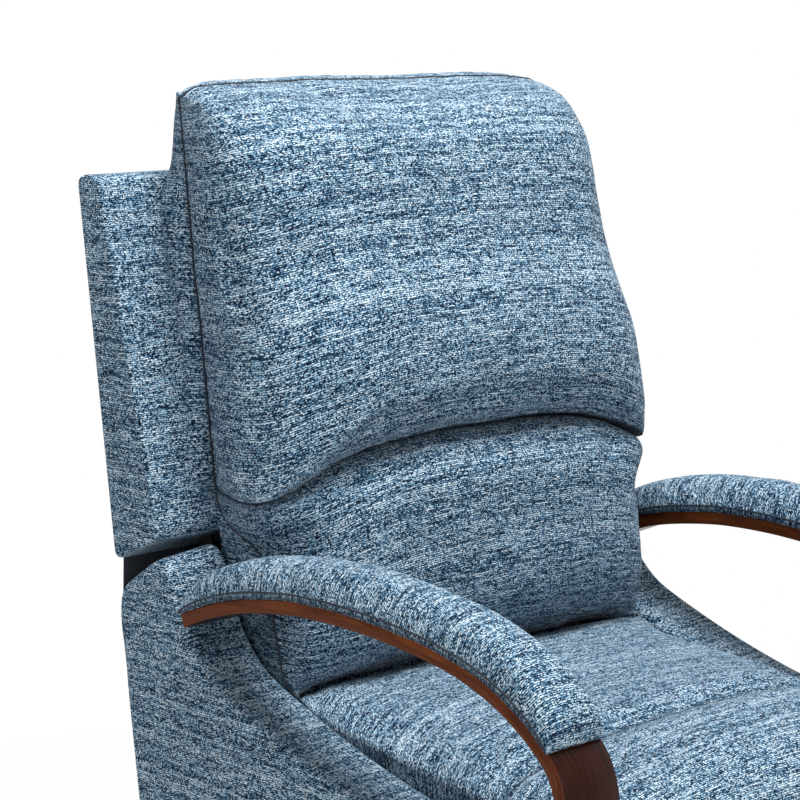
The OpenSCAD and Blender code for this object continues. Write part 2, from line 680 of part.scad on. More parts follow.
// Fall of the seat's top towards its rear edge, under the lumbar cushion
function seat_dip(y) = seat_rear_drop * (1 + cos(180 * min(1, max(0, y - seat_rear) / seat_dip_l))) / 2;
function seat_z(u, y) = seat_top - seat_side_drop * (1 - bulge(u, seat_square))
  - seat_roll(y) - seat_fall(y) - seat_dip(y) - channel(y);
function seat_x(u) = seat_half * (2 * u - 1);
seat_nv = seat_rear_rows + len(seat_rows) - 1;
seat_grid_top = [for (i = [0:seat_nu]) [for (k = [0:seat_nv]) let (u = across(i, seat_nu), y = seat_y(u, k))
  [seat_x(u), -y, seat_z(u, y)]]];
// Underside: drawn in at the sides and the front, and rising under the front roll
function seat_tuck(y) = seat_side_tuck * max(0, (y - channel_y) / (seat_front - channel_y));
function seat_nose(y) = seat_nose_rise * max(0, 1 - (seat_front - y) / seat_nose_l);
seat_grid_low = [for (i = [0:seat_nu]) [for (k = [0:seat_nv]) let (u = across(i, seat_nu), y = seat_y(u, k))
  [seat_x(u) * (seat_half - seat_side_tuck) / seat_half, seat_tuck(y) - y, seat_under + seat_nose(y)]]];
module seat_cushion() color("steelblue") pillow(seat_grid_top, seat_grid_low);

// Back frame: an upholstered surround, thicker at its foot
back_low_lead = 58;
back_low_slant = 42;
back_front_low = [-back_low_lead, back_frame_low];
back_rear_low = [back_frame_low_t - back_low_lead, back_frame_low - back_low_slant];
back_front_top = [back_lean - back_frame_top_t, back_frame_top];
back_rear_top = [back_lean, back_frame_top];
back_edge_round = 14;
back_profile = [back_front_low, back_front_top, back_rear_top, back_rear_low];
// Corner-rounded profile of the back frame
function corner(p, q, s, r) = let (a = unit(p - q), b = unit(s - q))
  [for (t = [0:0.25:1]) (1 - t) * (1 - t) * (q + r * a) + 2 * t * (1 - t) * q + t * t * (q + r * b)];
function rounded(p, r) = let (m = len(p))
  [for (i = [0:m - 1]) each corner(p[(i + m - 1) % m], p[i], p[(i + 1) % m], r)];
back_outline = rounded(back_profile, back_edge_round);
back_mid = (back_front_low + back_front_top + back_rear_top + back_rear_low) / 4;
back_window_half = side_out - back_stile_w;
back_window_low = 682;
back_window_high = 944;
function lerp(a, b, t) = a + (b - a) * t;
// Place at a height on the straight line between two points
function line_y(a, b, z) = lerp(a[0], b[0], (z - a[1]) / (b[1] - a[1]));
function back_face_y(z) = line_y(back_front_low, back_front_top, z);
function back_rear_y(z) = line_y(back_rear_low, back_rear_top, z);
cover_t = 4;
back_round = 6;
function back_ring(a, side) = [for (c = drawn_in(backwards(back_outline), back_round * (1 - cos(a))))
  [side * (side_out - back_round * (1 - sin(a))), c[0], c[1]]];
// Steel strap that carries the back: from its hinge, under the cushion and up into the frame
strap_w = 24;
strap_knee = hinge_at + [50, 2];
strap_top = [-12, 750];
strap_play = 1;
module back_frame() color("steelblue") difference() {
  skin([for (a = [90, 45, 0]) back_ring(a, -1), for (a = [0, 45, 90]) back_ring(a, 1)],
    [-side_out, back_mid[0], back_mid[1]], [side_out, back_mid[0], back_mid[1]]);
  plate(-back_window_half, 2 * back_window_half) polygon([
    [back_face_y(back_window_low) - back_frame_low_t, back_window_low],
    [back_face_y(back_window_high) - back_frame_low_t, back_window_high],
    [back_rear_y(back_window_high) + back_frame_low_t, back_window_high],
    [back_rear_y(back_window_low) + back_frame_low_t, back_window_low]]);
  both_sides() plate(plane_x(lift_k) - strap_play, sheet_t + 2 * strap_play)
    bar([strap_knee, strap_top], strap_w + 2 * strap_play);
}
back_slope = atan2(back_front_top[0] - back_front_low[0], back_front_top[1] - back_front_low[1]);
back_spring_inset = 7;
back_spring_count = 4;
back_spring_end = (zig_wire / 2 + seat_clear) / cos(back_slope);
back_window_h = (back_window_high - back_window_low) / cos(back_slope);
// Zigzag springs of the back, from the window's lower edge to its upper edge
module back_springs() color("silver") for (k = [0:back_spring_count - 1])
  translate([(k - (back_spring_count - 1) / 2) * 2 * (back_window_half - strap_w) / back_spring_count,
    back_face_y(back_window_low) + back_spring_inset, back_window_low])
    rotate([90 - back_slope, 0, 0]) translate([0, back_spring_end, 0])
      zig_spring(back_window_h - 2 * back_spring_end);
module back_brackets() color("gray") both_sides() difference() {
  plate(plane_x(lift_k), sheet_t) bar([hinge_at, strap_knee, strap_top], strap_w);
  hole(hinge_at, lift_k, hinge_r + pin_clear);
}
cover_low = [back_rear_y(back_window_low), back_window_low + seat_clear];
cover_high = [back_rear_y(back_window_high), back_window_high - seat_clear];
module back_rear_cover() color("steelblue")
  plate(-back_window_half + seat_clear, 2 * (back_window_half - seat_clear))
    polygon([cover_low - [cover_t, 0], cover_high - [cover_t, 0], cover_high, cover_low]);

// Loose strip of fabric under the back frame
skirt_t = 2.5;
skirt_inset = 9;
skirt_low = [-8, 482];
skirt_high = [back_rear_low[0] - skirt_inset, back_rear_low[1] + skirt_inset / 2];
module back_skirt() color("darkslateblue") plate(-back_window_half, 2 * back_window_half)
  polygon([skirt_high, skirt_high - [skirt_t, 0], skirt_low - [skirt_t, 0], skirt_low]);

// Pillows of the back: a head pillow over a lumbar cushion, with an arched crease between them
pillow_gap = 5;
pillow_half = gap_half - pillow_gap;
head_rear_flare = 12;
pillow_nu = 20;
pillow_nv = 16;
pillow_sink = 10;
pillow_low = seat_top - pillow_sink;
crease_gap = 0.8;
seam_low = [-61, 645];
seam_high = [-8, 1050];
head_rear_top = 8;
head_corner_drop = 7;
strap_room = 64;
// Height of the crease at a share of the half width
function crease_z(x) = crease_side + (crease_mid - crease_side) * (1 - x * x);
function head_z(x, v) = lerp(crease_z(x), head_top - head_corner_drop * pow(x, 4), v);
function seam_y(z) = line_y(seam_low, seam_high, z);
// Depth of the head pillow in front of its seam, from the crease up: shares of its bulge
head_depth_shares = [
  [0, 0.86], [0.04, 0.95], [0.1, 0.99], [0.2, 1.0], [0.3, 0.98], [0.41, 0.92], [0.54, 0.82], [0.65, 0.77],
  [0.76, 0.72], [0.86, 0.63], [0.95, 0.43], [1, 0.09]];
head_square = 5.2;
head_side_bulge = 24;
function head_front(a, v) = let (x = belly_x(a, head_square), z = head_z(x, v),
  y = belly_y(a, head_square), d = lookup(v, head_depth_shares))
  [x * (pillow_half + head_side_bulge * d * y * (2 - y)), seam_y(z) - head_bulge * d * y, z];
function head_back_y(z) = let (t = (z - back_frame_top) / (head_top - back_frame_top))
  t < 0 ? back_face_y(z) - seat_clear : lerp(back_front_top[0] - seat_clear, head_rear_top, t * t);
function head_flare(z) = head_rear_flare * min(1, (head_top - z) / (head_top - back_frame_top));
function head_back(a, v) = let (x = belly_x(a, head_square), z = head_z(x, v))
  [x * (pillow_half + head_flare(z)), head_back_y(z), z];
module head_pillow() color("steelblue") pillow(
  [for (i = [0:pillow_nu]) [for (k = [0:pillow_nv]) head_front(180 * i / pillow_nu, k / pillow_nv)]],
  [for (i = [0:pillow_nu]) [for (k = [0:pillow_nv]) head_back(180 * i / pillow_nu, k / pillow_nv)]]);

// Front of the lumbar cushion at its sides and at its middle, from its lower edge up: shares of its depth
lumbar_depth = 225;
lumbar_side_shares = [
  [0, 0.86], [0.07, 0.74], [0.18, 0.655], [0.4, 0.62], [0.68, 0.6], [0.85, 0.56], [1, 0.48]];
lumbar_mid_shares = [
  [0, 0.67], [0.07, 0.84], [0.18, 0.95], [0.4, 1.0], [0.75, 0.99], [0.9, 0.94], [1, 0.84]];
lumbar_square = 4.5;
function lumbar_z(x, v) = lerp(pillow_low, crease_z(x) - crease_gap, v);
function lumbar_front(a, v) = let (x = belly_x(a, lumbar_square), y = belly_y(a, lumbar_square))
  [x * pillow_half, -lumbar_depth * lerp(lookup(v, lumbar_side_shares), lookup(v, lumbar_mid_shares), y),
    lumbar_z(x, v)];
function lumbar_back(a, v) = let (x = belly_x(a, lumbar_square), z = lumbar_z(x, v))
  [x * pillow_half, min(-strap_room, back_face_y(z) - seat_clear), z];
module lumbar_cushion() color("steelblue") pillow(
  [for (i = [0:pillow_nu]) [for (k = [0:pillow_nv]) lumbar_front(180 * i / pillow_nu, k / pillow_nv)]],
  [for (i = [0:pillow_nu]) [for (k = [0:pillow_nv]) lumbar_back(180 * i / pillow_nu, k / pillow_nv)]]);

// Pantograph of the footrest: falling bars in one plane, rising bars in the next
bracket_l = 225;
bracket_end = cross_end + bracket_l * fall_u;
open_pin_clear = 0.4;
module footrest_lift_bars() color("gray") both_sides() {
  difference() {
    plate(plane_x(lift_k), sheet_t) bar([foot_pivot, lift_end], bar_w);
    hole(foot_pivot, lift_k, rivet_r + pin_clear);
  }
  rivet(cross_mid, lift_k, rivet_r);
  rivet(lift_end, lift_k, rivet_r);
  rod(foot_pivot + crank_l * fall_u, plane_x(drive_k) - link_gap, 2 * sheet_t + 3 * link_gap, crank_pin_r);
}
module footrest_cross_bars() color("darkgray") both_sides() {
  difference() {
    plate(plane_x(cross_k), sheet_t) bar([cross_foot, cross_end], bar_w);
    hole(cross_mid, cross_k, rivet_r + pin_clear);
    hole(cross_end, cross_k, rivet_r + pin_clear);
  }
  rod(cross_foot, plane_x(cross_k) + sheet_t, plane_x(rail_k) - plane_x(cross_k), crank_pin_r);
}
module slot_rollers() color("white") both_sides() difference() {
  rod(cross_foot, plane_x(rail_k), sheet_t, roller_r);
  hole(cross_foot, rail_k, crank_pin_r);
}
module footrest_short_bars() color("darkgray") both_sides() difference() {
  plate(plane_x(cross_k), sheet_t) bar([lift_end, short_end], bar_w);
  hole(lift_end, cross_k, rivet_r + pin_clear);
  hole(short_end, cross_k, rivet_r + open_pin_clear);
}
flange_w = 28;
web_inset = 14;
web_low = foot_low + web_inset;
web_high = foot_high - web_inset / 2;
// Lightening holes of the web: radius and distance below its upper end
web_holes = [[17, 51], [12, 110]];
web_top = [-board_back, web_high];
web_foot = [-board_back, web_low];
module bracket_web() difference() {
  union() {
    bar([cross_end, bracket_end], bar_w);
    polygon([cross_end, web_top, web_foot, bracket_end]);
  }
  for (h = web_holes) translate(web_top + [h[0] + bar_w / 2, -h[1]]) circle(r = h[0]);
}
module footrest_brackets() color("gray") both_sides() {
  plate(plane_x(lift_k), sheet_t) bracket_web();
  translate([plane_x(lift_k) + sheet_t - flange_w, -board_back, web_low])
    cube([flange_w, sheet_t, web_high - web_low]);
  rivet(cross_end, lift_k, rivet_r);
  rivet(short_end, lift_k, rivet_r);
}
module footrest_board() color("burlywood")
  translate([-foot_w / 2, -board_back - board_t, foot_low]) cube([foot_w, board_t, foot_high - foot_low]);
foot_nu = 16;
foot_nv = 12;
foot_edge = 0.42;
foot_pad_lip = 4;
function foot_x(u) = (foot_w / 2 + foot_pad_lip) * (2 * u - 1);
function foot_z(v) = foot_low - foot_pad_lip + v * (foot_high - foot_low + foot_pad_lip);
function foot_rise(u, v) = foot_pad_t * (foot_edge + (1 - foot_edge) * bulge(u, 3.4) * bulge(v, 3));
function foot_front_at(u, v) = [foot_x(u), -board_back - board_t - foot_rise(u, v), foot_z(v)];
function foot_back_at(u, v) = [foot_x(u), -board_back - board_t, foot_z(v)];
module footrest_pad() color("steelblue") pillow(
  [for (i = [0:foot_nu]) [for (k = [0:foot_nv]) foot_front_at(across(i, foot_nu), across(k, foot_nv))]],
  [for (i = [0:foot_nu]) [for (k = [0:foot_nv]) foot_back_at(across(i, foot_nu), across(k, foot_nv))]]);

// Torque tube, its cranks, the drive links and the lever
crank_end = torque_at + crank_l * fall_u;
lever_grip_in = 12;
tube_start = -side_out - lever_stand - lever_grip_in;
tube_end = plane_x(rail_k) + sheet_t;
module torque_tube() color("gray") difference() {
  rod(torque_at, tube_start, tube_end - tube_start, tube_r);
  rod(torque_at, tube_start - over, tube_end - tube_start + 2 * over, tube_r - tube_wall);
}
module tube_cranks() color("dimgray") both_sides() {
  difference() {
    plate(plane_x(cross_k), sheet_t) union() {
      bar([torque_at, crank_end], crank_w);
      translate(torque_at) circle(r = tube_r + bush_t);
    }
    hole(torque_at, cross_k, tube_r);
  }
  rod(crank_end, plane_x(drive_k) - link_gap, sheet_t + 2 * link_gap, crank_pin_r);
}
drive_w = 14;
module drive_links() color("darkgray") both_sides() difference() {
  plate(plane_x(drive_k), sheet_t) bar([crank_end, foot_pivot + crank_l * fall_u], drive_w);
  hole(crank_end, drive_k, crank_pin_r + pin_clear);
  hole(foot_pivot + crank_l * fall_u, drive_k, crank_pin_r + open_pin_clear);
}
// Outline of the lever, forwards and upwards from its shaft: shares of its length and of its grip's width
lever_shares = [
  [-0.06, 0.42], [-0.12, 0], [-0.06, -0.42], [0.15, -0.36], [0.4, -0.3], [0.65, -0.44], [0.85, -0.5],
  [0.97, -0.36], [1, 0], [0.97, 0.36], [0.85, 0.5], [0.65, 0.44], [0.4, 0.3], [0.15, 0.36]];
lever_steps = 4;
lever_points = [for (s = lever_shares) torque_at + [-s[0] * lever_l, s[1] * lever_w]];
module lever_handle() color("saddlebrown") difference() {
  plate(-lever_out, lever_t)
    polygon(smooth_closed(lever_points, lever_steps));
  rod(torque_at, tube_start, lever_grip_in + over, tube_r);
}

module placed() translate([shift_x, shift_y, 0]) children();
placed() base_rails();
placed() base_cross_rails();
placed() floor_glides();
placed() spring_base_plates();
placed() rocker_springs();
placed() base_bolts();
placed() side_panel_right();
placed() side_panel_left();
placed() arm_wood_right();
placed() arm_wood_left();
placed() arm_pad_right();
placed() arm_pad_left();
placed() front_cross_rail();
placed() rear_cross_rail();
placed() rocker_cams();
placed() spring_top_plates();
placed() mechanism_plates();
placed() rear_apron();
placed() lever_bezel();
placed() arm_bolts();
placed() rear_swing_links();
placed() front_swing_links();
placed() seat_frame();
placed() seat_springs();
placed() seat_cushion();
placed() seat_rails();
placed() seat_cross_tube();
placed() rail_spacers();
placed() tube_bushings();
placed() back_frame();
placed() back_springs();
placed() back_brackets();
placed() back_rear_cover();
placed() back_skirt();
placed() head_pillow();
placed() lumbar_cushion();
placed() footrest_lift_bars();
placed() footrest_cross_bars();
placed() slot_rollers();
placed() footrest_short_bars();
placed() footrest_brackets();
placed() footrest_board();
placed() footrest_pad();
placed() torque_tube();
placed() tube_cranks();
placed() lever_handle();
placed() drive_links();
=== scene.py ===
# %% [markdown]
# ## The frame
# The solid parts of the recliner come in already placed, in metres, in the frame that every view
# shares. They could be modelled again, but then each would have to be fitted by eye. Loading them
# keeps the wood, steel and joints exact, and leaves this lesson to fabric, padding and finishes.

# %% Load the frame
import bpy, json, math
import numpy as np
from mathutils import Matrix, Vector, noise


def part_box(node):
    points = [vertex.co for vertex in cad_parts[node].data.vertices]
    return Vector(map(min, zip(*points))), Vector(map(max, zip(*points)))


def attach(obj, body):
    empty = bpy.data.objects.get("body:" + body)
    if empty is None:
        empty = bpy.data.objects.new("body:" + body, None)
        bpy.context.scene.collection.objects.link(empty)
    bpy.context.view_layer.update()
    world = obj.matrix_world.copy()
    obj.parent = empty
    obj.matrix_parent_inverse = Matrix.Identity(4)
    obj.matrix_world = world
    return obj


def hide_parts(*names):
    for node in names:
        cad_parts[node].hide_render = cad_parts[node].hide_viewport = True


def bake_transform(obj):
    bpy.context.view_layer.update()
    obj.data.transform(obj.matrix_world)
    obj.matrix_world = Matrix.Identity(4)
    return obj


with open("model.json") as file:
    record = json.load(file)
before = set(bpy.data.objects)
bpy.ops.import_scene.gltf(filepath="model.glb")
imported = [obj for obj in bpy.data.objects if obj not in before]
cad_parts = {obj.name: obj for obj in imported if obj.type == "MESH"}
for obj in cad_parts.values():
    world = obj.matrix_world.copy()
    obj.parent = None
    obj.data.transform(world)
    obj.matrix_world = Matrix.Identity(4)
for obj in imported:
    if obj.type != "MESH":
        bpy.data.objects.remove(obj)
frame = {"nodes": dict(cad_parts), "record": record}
scene = bpy.context.scene
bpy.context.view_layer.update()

# %% [markdown]
# ## Sizes
# The chair was measured in millimetres from the middle of its seat, facing the viewer along minus Y.
# One function turns such a place into the shared frame, so each later number can be read as a real
# size of the chair.

# %% Sizes of the chair, in millimetres
GAP_HALF, SIDE_OUT, SIDE_DEPTH, SIDE_TOP, SIDE_LOW = 271.0, 350.0, 654.0, 592.0, 70.0
SEAT_TOP, SEAT_UNDER, SEAT_FRONT, SEAT_REAR = 458.0, 375.0, 676.0, 156.0
CHANNEL_Y, CHANNEL_DEPTH = 492.0, 9.0
HEAD_TOP, CREASE_MID, CREASE_SIDE = 1088.0, 714.0, 656.0
def place(x, y, z):
    return Vector(((x + 10) / 1000, (y + 306) / 1000, z / 1000))
print("seat height", SEAT_TOP, "mm, height", HEAD_TOP, "mm")

# %% [markdown]
# ## Lines and graphs
# A padded outline has no corners. It could be drawn by hand as a Bezier curve; here a few measured
# points are joined by a smooth line that passes through each of them, so a measure stays a measure.

# %% Smooth lines through measured points
def lerp(a, b, t):
    return a + (b - a) * t
def curve(points, steps):
    """Smooth line through points, with that many steps between each two."""
    p = [np.array(q, float) for q in points]
    line = []
    for i in range(len(p) - 1):
        a, b, c, d = p[max(i - 1, 0)], p[i], p[i + 1], p[min(i + 2, len(p) - 1)]
        for k in range(steps):
            t = k / steps
            line.append((2 * b + (c - a) * t + (2 * a - 5 * b + 4 * c - d) * t * t
                         + (3 * b - a - 3 * c + d) * t ** 3) / 2)
    return np.array(line + [p[-1]])
def graph(shares):
    """A smooth function through pairs of place and value."""
    line = curve(shares, 12)
    return lambda v: float(np.interp(v, line[:, 0], line[:, 1]))
def run_along(line):
    """The length along a line up to each of its points."""
    return np.concatenate([[0], np.cumsum(np.linalg.norm(np.diff(line, axis=0), axis=1))])
print("a quarter round of 100 mm measures", round(run_along(curve([(0, 100), (71, 71), (100, 0)], 9))[-1]))

# %% [markdown]
# ## Camera
# The photograph was taken with a long lens from the chair's right front corner, a little above the
# arms, and it crops the base away. Where a lens stands can be found by trial, but here it was worked
# out from the straight edges of the chair, so the camera is set by numbers.

# %% The photograph's camera
lens = bpy.data.cameras.new("photo_camera")
lens.lens, lens.sensor_width = 112.8, 36
lens.clip_start, lens.clip_end = 0.1, 60
camera = bpy.data.objects.new("photo_camera", lens)
camera.location = (-1.9058, -1.8314, 1.1775)
camera.rotation_euler = (math.radians(90 - 9.1), 0, math.radians(-42.7))
scene.collection.objects.link(camera)
scene.camera = camera
print("camera", [round(c, 3) for c in camera.location])

# %% [markdown]
# ## Small helpers for finishes
# Every finish is a set of nodes. One function adds a node with its settings and links, another turns
# a colour as a painter writes it, in hex, into the linear light that shaders use, and a third starts a
# material with the plain values of its shader.

# %% Node and colour helpers
def linear(code):
    parts = [int(code[i:i + 2], 16) / 255 for i in (1, 3, 5)]
    return [c / 12.92 if c <= 0.04045 else ((c + 0.055) / 1.055) ** 2.4 for c in parts] + [1.0]
def add(tree, kind, links=(), **settings):
    """A shader node of that kind. A link goes from a socket, or from a node's first output, to an input.
    A setting whose name starts with _ is an input's value, and stops are the colours of a ramp."""
    node = tree.nodes.new("ShaderNode" + kind)
    for key, value in settings.items():
        if key == "stops":
            while len(node.color_ramp.elements) < len(value):
                node.color_ramp.elements.new(0.5)
            for element, (at, code) in zip(node.color_ramp.elements, value):
                element.position, element.color = at, linear(code)
        elif key.startswith("_"):
            name = key[1:].replace("_", " ")
            node.inputs[int(name) if name.isdigit() else name].default_value = value
        else:
            setattr(node, key, value)
    for source, target in links:
        tree.links.new(source.outputs[0] if isinstance(source, bpy.types.Node) else source, node.inputs[target])
    return node
def finish(name, shader):
    """A new material with that name: its node tree and its shader, with the shader's plain values set."""
    material = bpy.data.materials.new(name)
    material.use_nodes = True
    tree = material.node_tree
    base = tree.nodes["Principled BSDF"]
    for key, value in shader.items():
        base.inputs[key].default_value = value
    return material, tree, base
print("mid grey #808080 is", round(linear("#808080")[0], 3), "in linear light")

# %% [markdown]
# ## Light
# A studio picture of a chair is lit by large soft boxes. A lamp for each box gives soft shadows, and
# the world fills them. One strong sun would be simpler, but its hard shadow would hide the cloth's
# folds. The world is full white only where the camera or a mirror looks at it.

# %% World and lamps
world = bpy.data.worlds.new("studio")
scene.world = world
world.use_nodes = True
tree = world.node_tree
path = add(tree, "LightPath").outputs
seen = add(tree, "Math", [(path["Is Camera Ray"], 0), (path["Is Glossy Ray"], 1)], operation="MAXIMUM")
seen = add(tree, "Math", [(seen, 0), (path["Is Transmission Ray"], 1)], operation="MAXIMUM")
strength = add(tree, "MapRange", [(seen, 0)], _3=0.34, _4=1.0)
glow = tree.nodes["Background"]
glow.inputs[0].default_value = (1, 1, 1, 1)
tree.links.new(strength.outputs[0], glow.inputs[1])
def softbox(name, at, aim, size, power):
    lamp = bpy.data.lights.new(name, "AREA")
    lamp.shape, lamp.size, lamp.energy = "DISK", size, power
    box = bpy.data.objects.new(name, lamp)
    box.location = at
    box.rotation_euler = (Vector(aim) - Vector(at)).to_track_quat("-Z", "Y").to_euler()
    scene.collection.objects.link(box)
softbox("key_box", (0.0, -0.55, 3.6), (0, 0, 0.8), 1.5, 146)
softbox("front_box", (-0.2, -3.2, 2.0), (0, 0, 0.6), 1.6, 30)
softbox("side_box", (-3.2, 0.0, 2.1), (0, 0, 0.6), 1.6, 22)
softbox("rear_box", (1.6, 2.6, 2.6), (0, 0, 0.7), 1.6, 30)

# %% [markdown]
# ## Floor
# The chair stands on a white sweep of paper. It is white because the camera sees it as white away from
# the chair, not because more light falls on it, so the cloth keeps its own colour and the floor near
# the chair keeps the shadow. A curved backdrop could be modelled, but nothing of it would be seen.

# %% Paper floor
bpy.ops.object.select_all(action="DESELECT")
bpy.ops.mesh.primitive_plane_add(size=30, location=(0, 0, -0.0005))
floor = bpy.context.object
floor.name = "studio_floor"
material, tree, base = finish("matt_white_paper", {"Roughness": 0.9, "Base Color": linear("#d9d9d8")})
white = add(tree, "Emission", _Color=(1, 1, 1, 1), _Strength=1.0)
reach = add(tree, "TexCoord").outputs["Object"]
reach = add(tree, "VectorMath", [(reach, 0)], operation="LENGTH").outputs["Value"]
far = add(tree, "MapRange", [(reach, 0)], _1=0.62, _2=1.5)
path = add(tree, "LightPath").outputs
seen = add(tree, "Math", [(path["Is Camera Ray"], 0), (path["Is Glossy Ray"], 1)], operation="MAXIMUM")
share = add(tree, "Math", [(far, 0), (seen, 1)], operation="MULTIPLY")
mix = add(tree, "MixShader", [(share, 0), (base, 1), (white, 2)])
tree.links.new(mix.outputs[0], tree.nodes["Material Output"].inputs[0])
floor.data.materials.append(material)
scene.view_settings.view_transform = "Standard"
print("floor", floor.name)

# %% [markdown]
# ## Upholstery cloth
# The cover is a chenille-like plain weave of slub yarn: the weft runs across the chair, spun unevenly
# from navy, denim and pale fibres, over a darker warp. A picture of cloth would tile and blur; here
# each thread gets its own number from where it lies, and noise that runs along the thread gives the
# streaks. The map named weave holds real metres along and across. The real weft lies closer than
# 2.3 mm; it is drawn as coarse as it has to be to show at the photograph's distance.

# %% Heathered slub weave
def slub_weave(name, codes, pitch):
    """Cloth of uneven yarn; codes are its colours from the darkest fibre to the palest."""
    material, tree, base = finish(name, {"Roughness": 0.95, "Sheen Weight": 0.04, "Specular IOR Level": 0.12})
    uv = add(tree, "UVMap", uv_map="weave")
    # threads wander by a millimetre or so
    wander = add(tree, "TexNoise", [(uv, 0)], _Scale=26.0, _Detail=1.0).outputs["Color"]
    wander = add(tree, "VectorMath", [(wander, 0)], operation="SUBTRACT", _1=(0.5, 0.5, 0.5))
    wander = add(tree, "VectorMath", [(wander, 0)], operation="SCALE", _Scale=0.004)
    lie = add(tree, "VectorMath", [(uv, 0), (wander, 1)], operation="ADD")
    split = add(tree, "SeparateXYZ", [(lie, 0)]).outputs
    along, up = split[0], split[1]
    # the weft: one thread to each row, with a start of its own, and streaks about 30 mm long
    count = add(tree, "Math", [(up, 0)], operation="DIVIDE", _1=pitch)
    row = add(tree, "Math", [(count, 0)], operation="FLOOR")
    own = add(tree, "TexWhiteNoise", [(row, "W")], noise_dimensions="1D").outputs["Value"]
    start = add(tree, "Math", [(own, 0)], operation="MULTIPLY", _1=37.0)
    run = add(tree, "Math", [(along, 0), (start, 2)], operation="MULTIPLY_ADD", _1=34.0)
    spot = add(tree, "CombineXYZ", [(run, 0), (row, 1)])
    streak = add(tree, "TexNoise", [(spot, 0)], _Scale=1.0, _Detail=2.0, _Roughness=0.5)
    # fibres of all the colours lie side by side in the yarn, as flecks 1.7 by 1.15 mm: half a thread high
    column = add(tree, "Math", [(along, 0)], operation="MULTIPLY_ADD", _1=600.0, _2=0.5)
    column = add(tree, "Math", [(column, 0)], operation="FLOOR")
    half = add(tree, "Math", [(count, 0)], operation="MULTIPLY", _1=2.0)
    half = add(tree, "Math", [(half, 0)], operation="FLOOR")
    cell = add(tree, "CombineXYZ", [(column, 0), (half, 1)])
    fleck = add(tree, "TexWhiteNoise", [(cell, 0)], noise_dimensions="3D").outputs["Value"]
    # the dye lot: soft bands a hand wide and a finger high
    lot = add(tree, "Mapping", [(uv, 0)], _3=(7.0, 55.0, 1.0))
    band = add(tree, "TexNoise", [(lot, 0)], _Scale=1.0, _Detail=2.0)
    # the streaks set the tone, and the other three move it by up to half their weight each way
    tone = add(tree, "Math", [(streak, 0)], operation="MULTIPLY_ADD", _1=0.95, _2=0.02)
    for source, weight in ((own, 0.18), (fleck, 0.64), (band, 0.22)):
        part = add(tree, "Math", [(source, 0)], operation="MULTIPLY_ADD", _1=weight, _2=-weight / 2)
        tone = add(tree, "Math", [(tone, 0), (part, 1)], operation="ADD")
    hue = add(tree, "ValToRGB", [(tone, 0)], stops=list(zip((0.26, 0.44, 0.58, 0.78), codes)))
    # threads are round: deep hollows lie between two wefts, shallow ones between two warps, 2.6 mm apart
    warp = add(tree, "Math", [(along, 0)], operation="MULTIPLY", _1=385.0)
    rounds = []
    for threads, width, least in ((count, 0.42, 0.0), (warp, 0.4, 0.7)):
        off = add(tree, "Math", [(threads, 0)], operation="FRACT")
        off = add(tree, "Math", [(off, 0)], operation="PINGPONG", _1=0.5)
        rounds.append(add(tree, "MapRange", [(off, 0)], interpolation_type="SMOOTHSTEP",
                          _1=0.0, _2=width, _3=least, _4=1.0))
    height = add(tree, "Math", [(rounds[0], 0), (rounds[1], 1)], operation="MULTIPLY")
    # the colour is darkened in the hollows as painted shade, where the darker warp also shows, and lightened a
    # little on the crowns as a painted highlight
    thread_shade_and_highlight = add(tree, "MapRange", [(height, 0)], _3=0.30, _4=1.16)
    hue = add(tree, "Mix", [(hue, 6), (thread_shade_and_highlight, 7)], data_type="RGBA", blend_type="MULTIPLY", _0=1.0)
    # painted shade: the cover is darkened towards navy along its seams, in the pillows' crease and in the seat's
    # channel, where shade falls
    seam = add(tree, "Attribute", attribute_name="seam").outputs["Fac"]
    hue = add(tree, "Mix", [(seam, 0), (hue.outputs[2], 6)], data_type="RGBA", _7=linear("#0f1a2b"))
    tree.links.new(hue.outputs[2], base.inputs["Base Color"])
    bump = add(tree, "Bump", [(height, "Height")], _Strength=0.4, _Distance=0.0008)
    tree.links.new(bump.outputs[0], base.inputs["Normal"])
    return material
cloth = slub_weave("slub_weave_denim_blue", ("#091c31", "#38617f", "#759bb6", "#cbdde9"), 0.0023)
print("cloth", cloth.name, "with threads 2.3 mm apart and flecks 1.7 by 1.15 mm")

# %% [markdown]
# ## Sewing thread
# Upholstery is sewn with bonded nylon, a smooth twisted thread in the darkest tone of the cloth. Its
# twist could be modelled, but at a millimetre thick two tones that alternate along it are enough.

# %% Bonded thread
thread, tree, base = finish("bonded_navy_thread", {"Roughness": 0.8})
at = add(tree, "TexCoord").outputs["Object"]
twist = add(tree, "TexWave", [(at, 0)], _Scale=260.0, _Distortion=2.0)
tone = add(tree, "ValToRGB", [(twist, 0)], stops=[(0.0, "#050a12"), (1.0, "#14202f")])
tree.links.new(tone.outputs[0], base.inputs["Base Color"])
print("thread", thread.name, "with a twist of 1.2 mm")

# %% [markdown]
# ## Wood
# Bent veneer is stained and lacquered, so it shines softly over fine grain along the bend. On the
# arm's two sides the same wood is cut across its layers, and looks lighter and more even. The plywood
# and beech inside the chair are only sanded. A photograph of wood would have to be stretched along the
# bend; noise that is long in one direction follows the map instead.

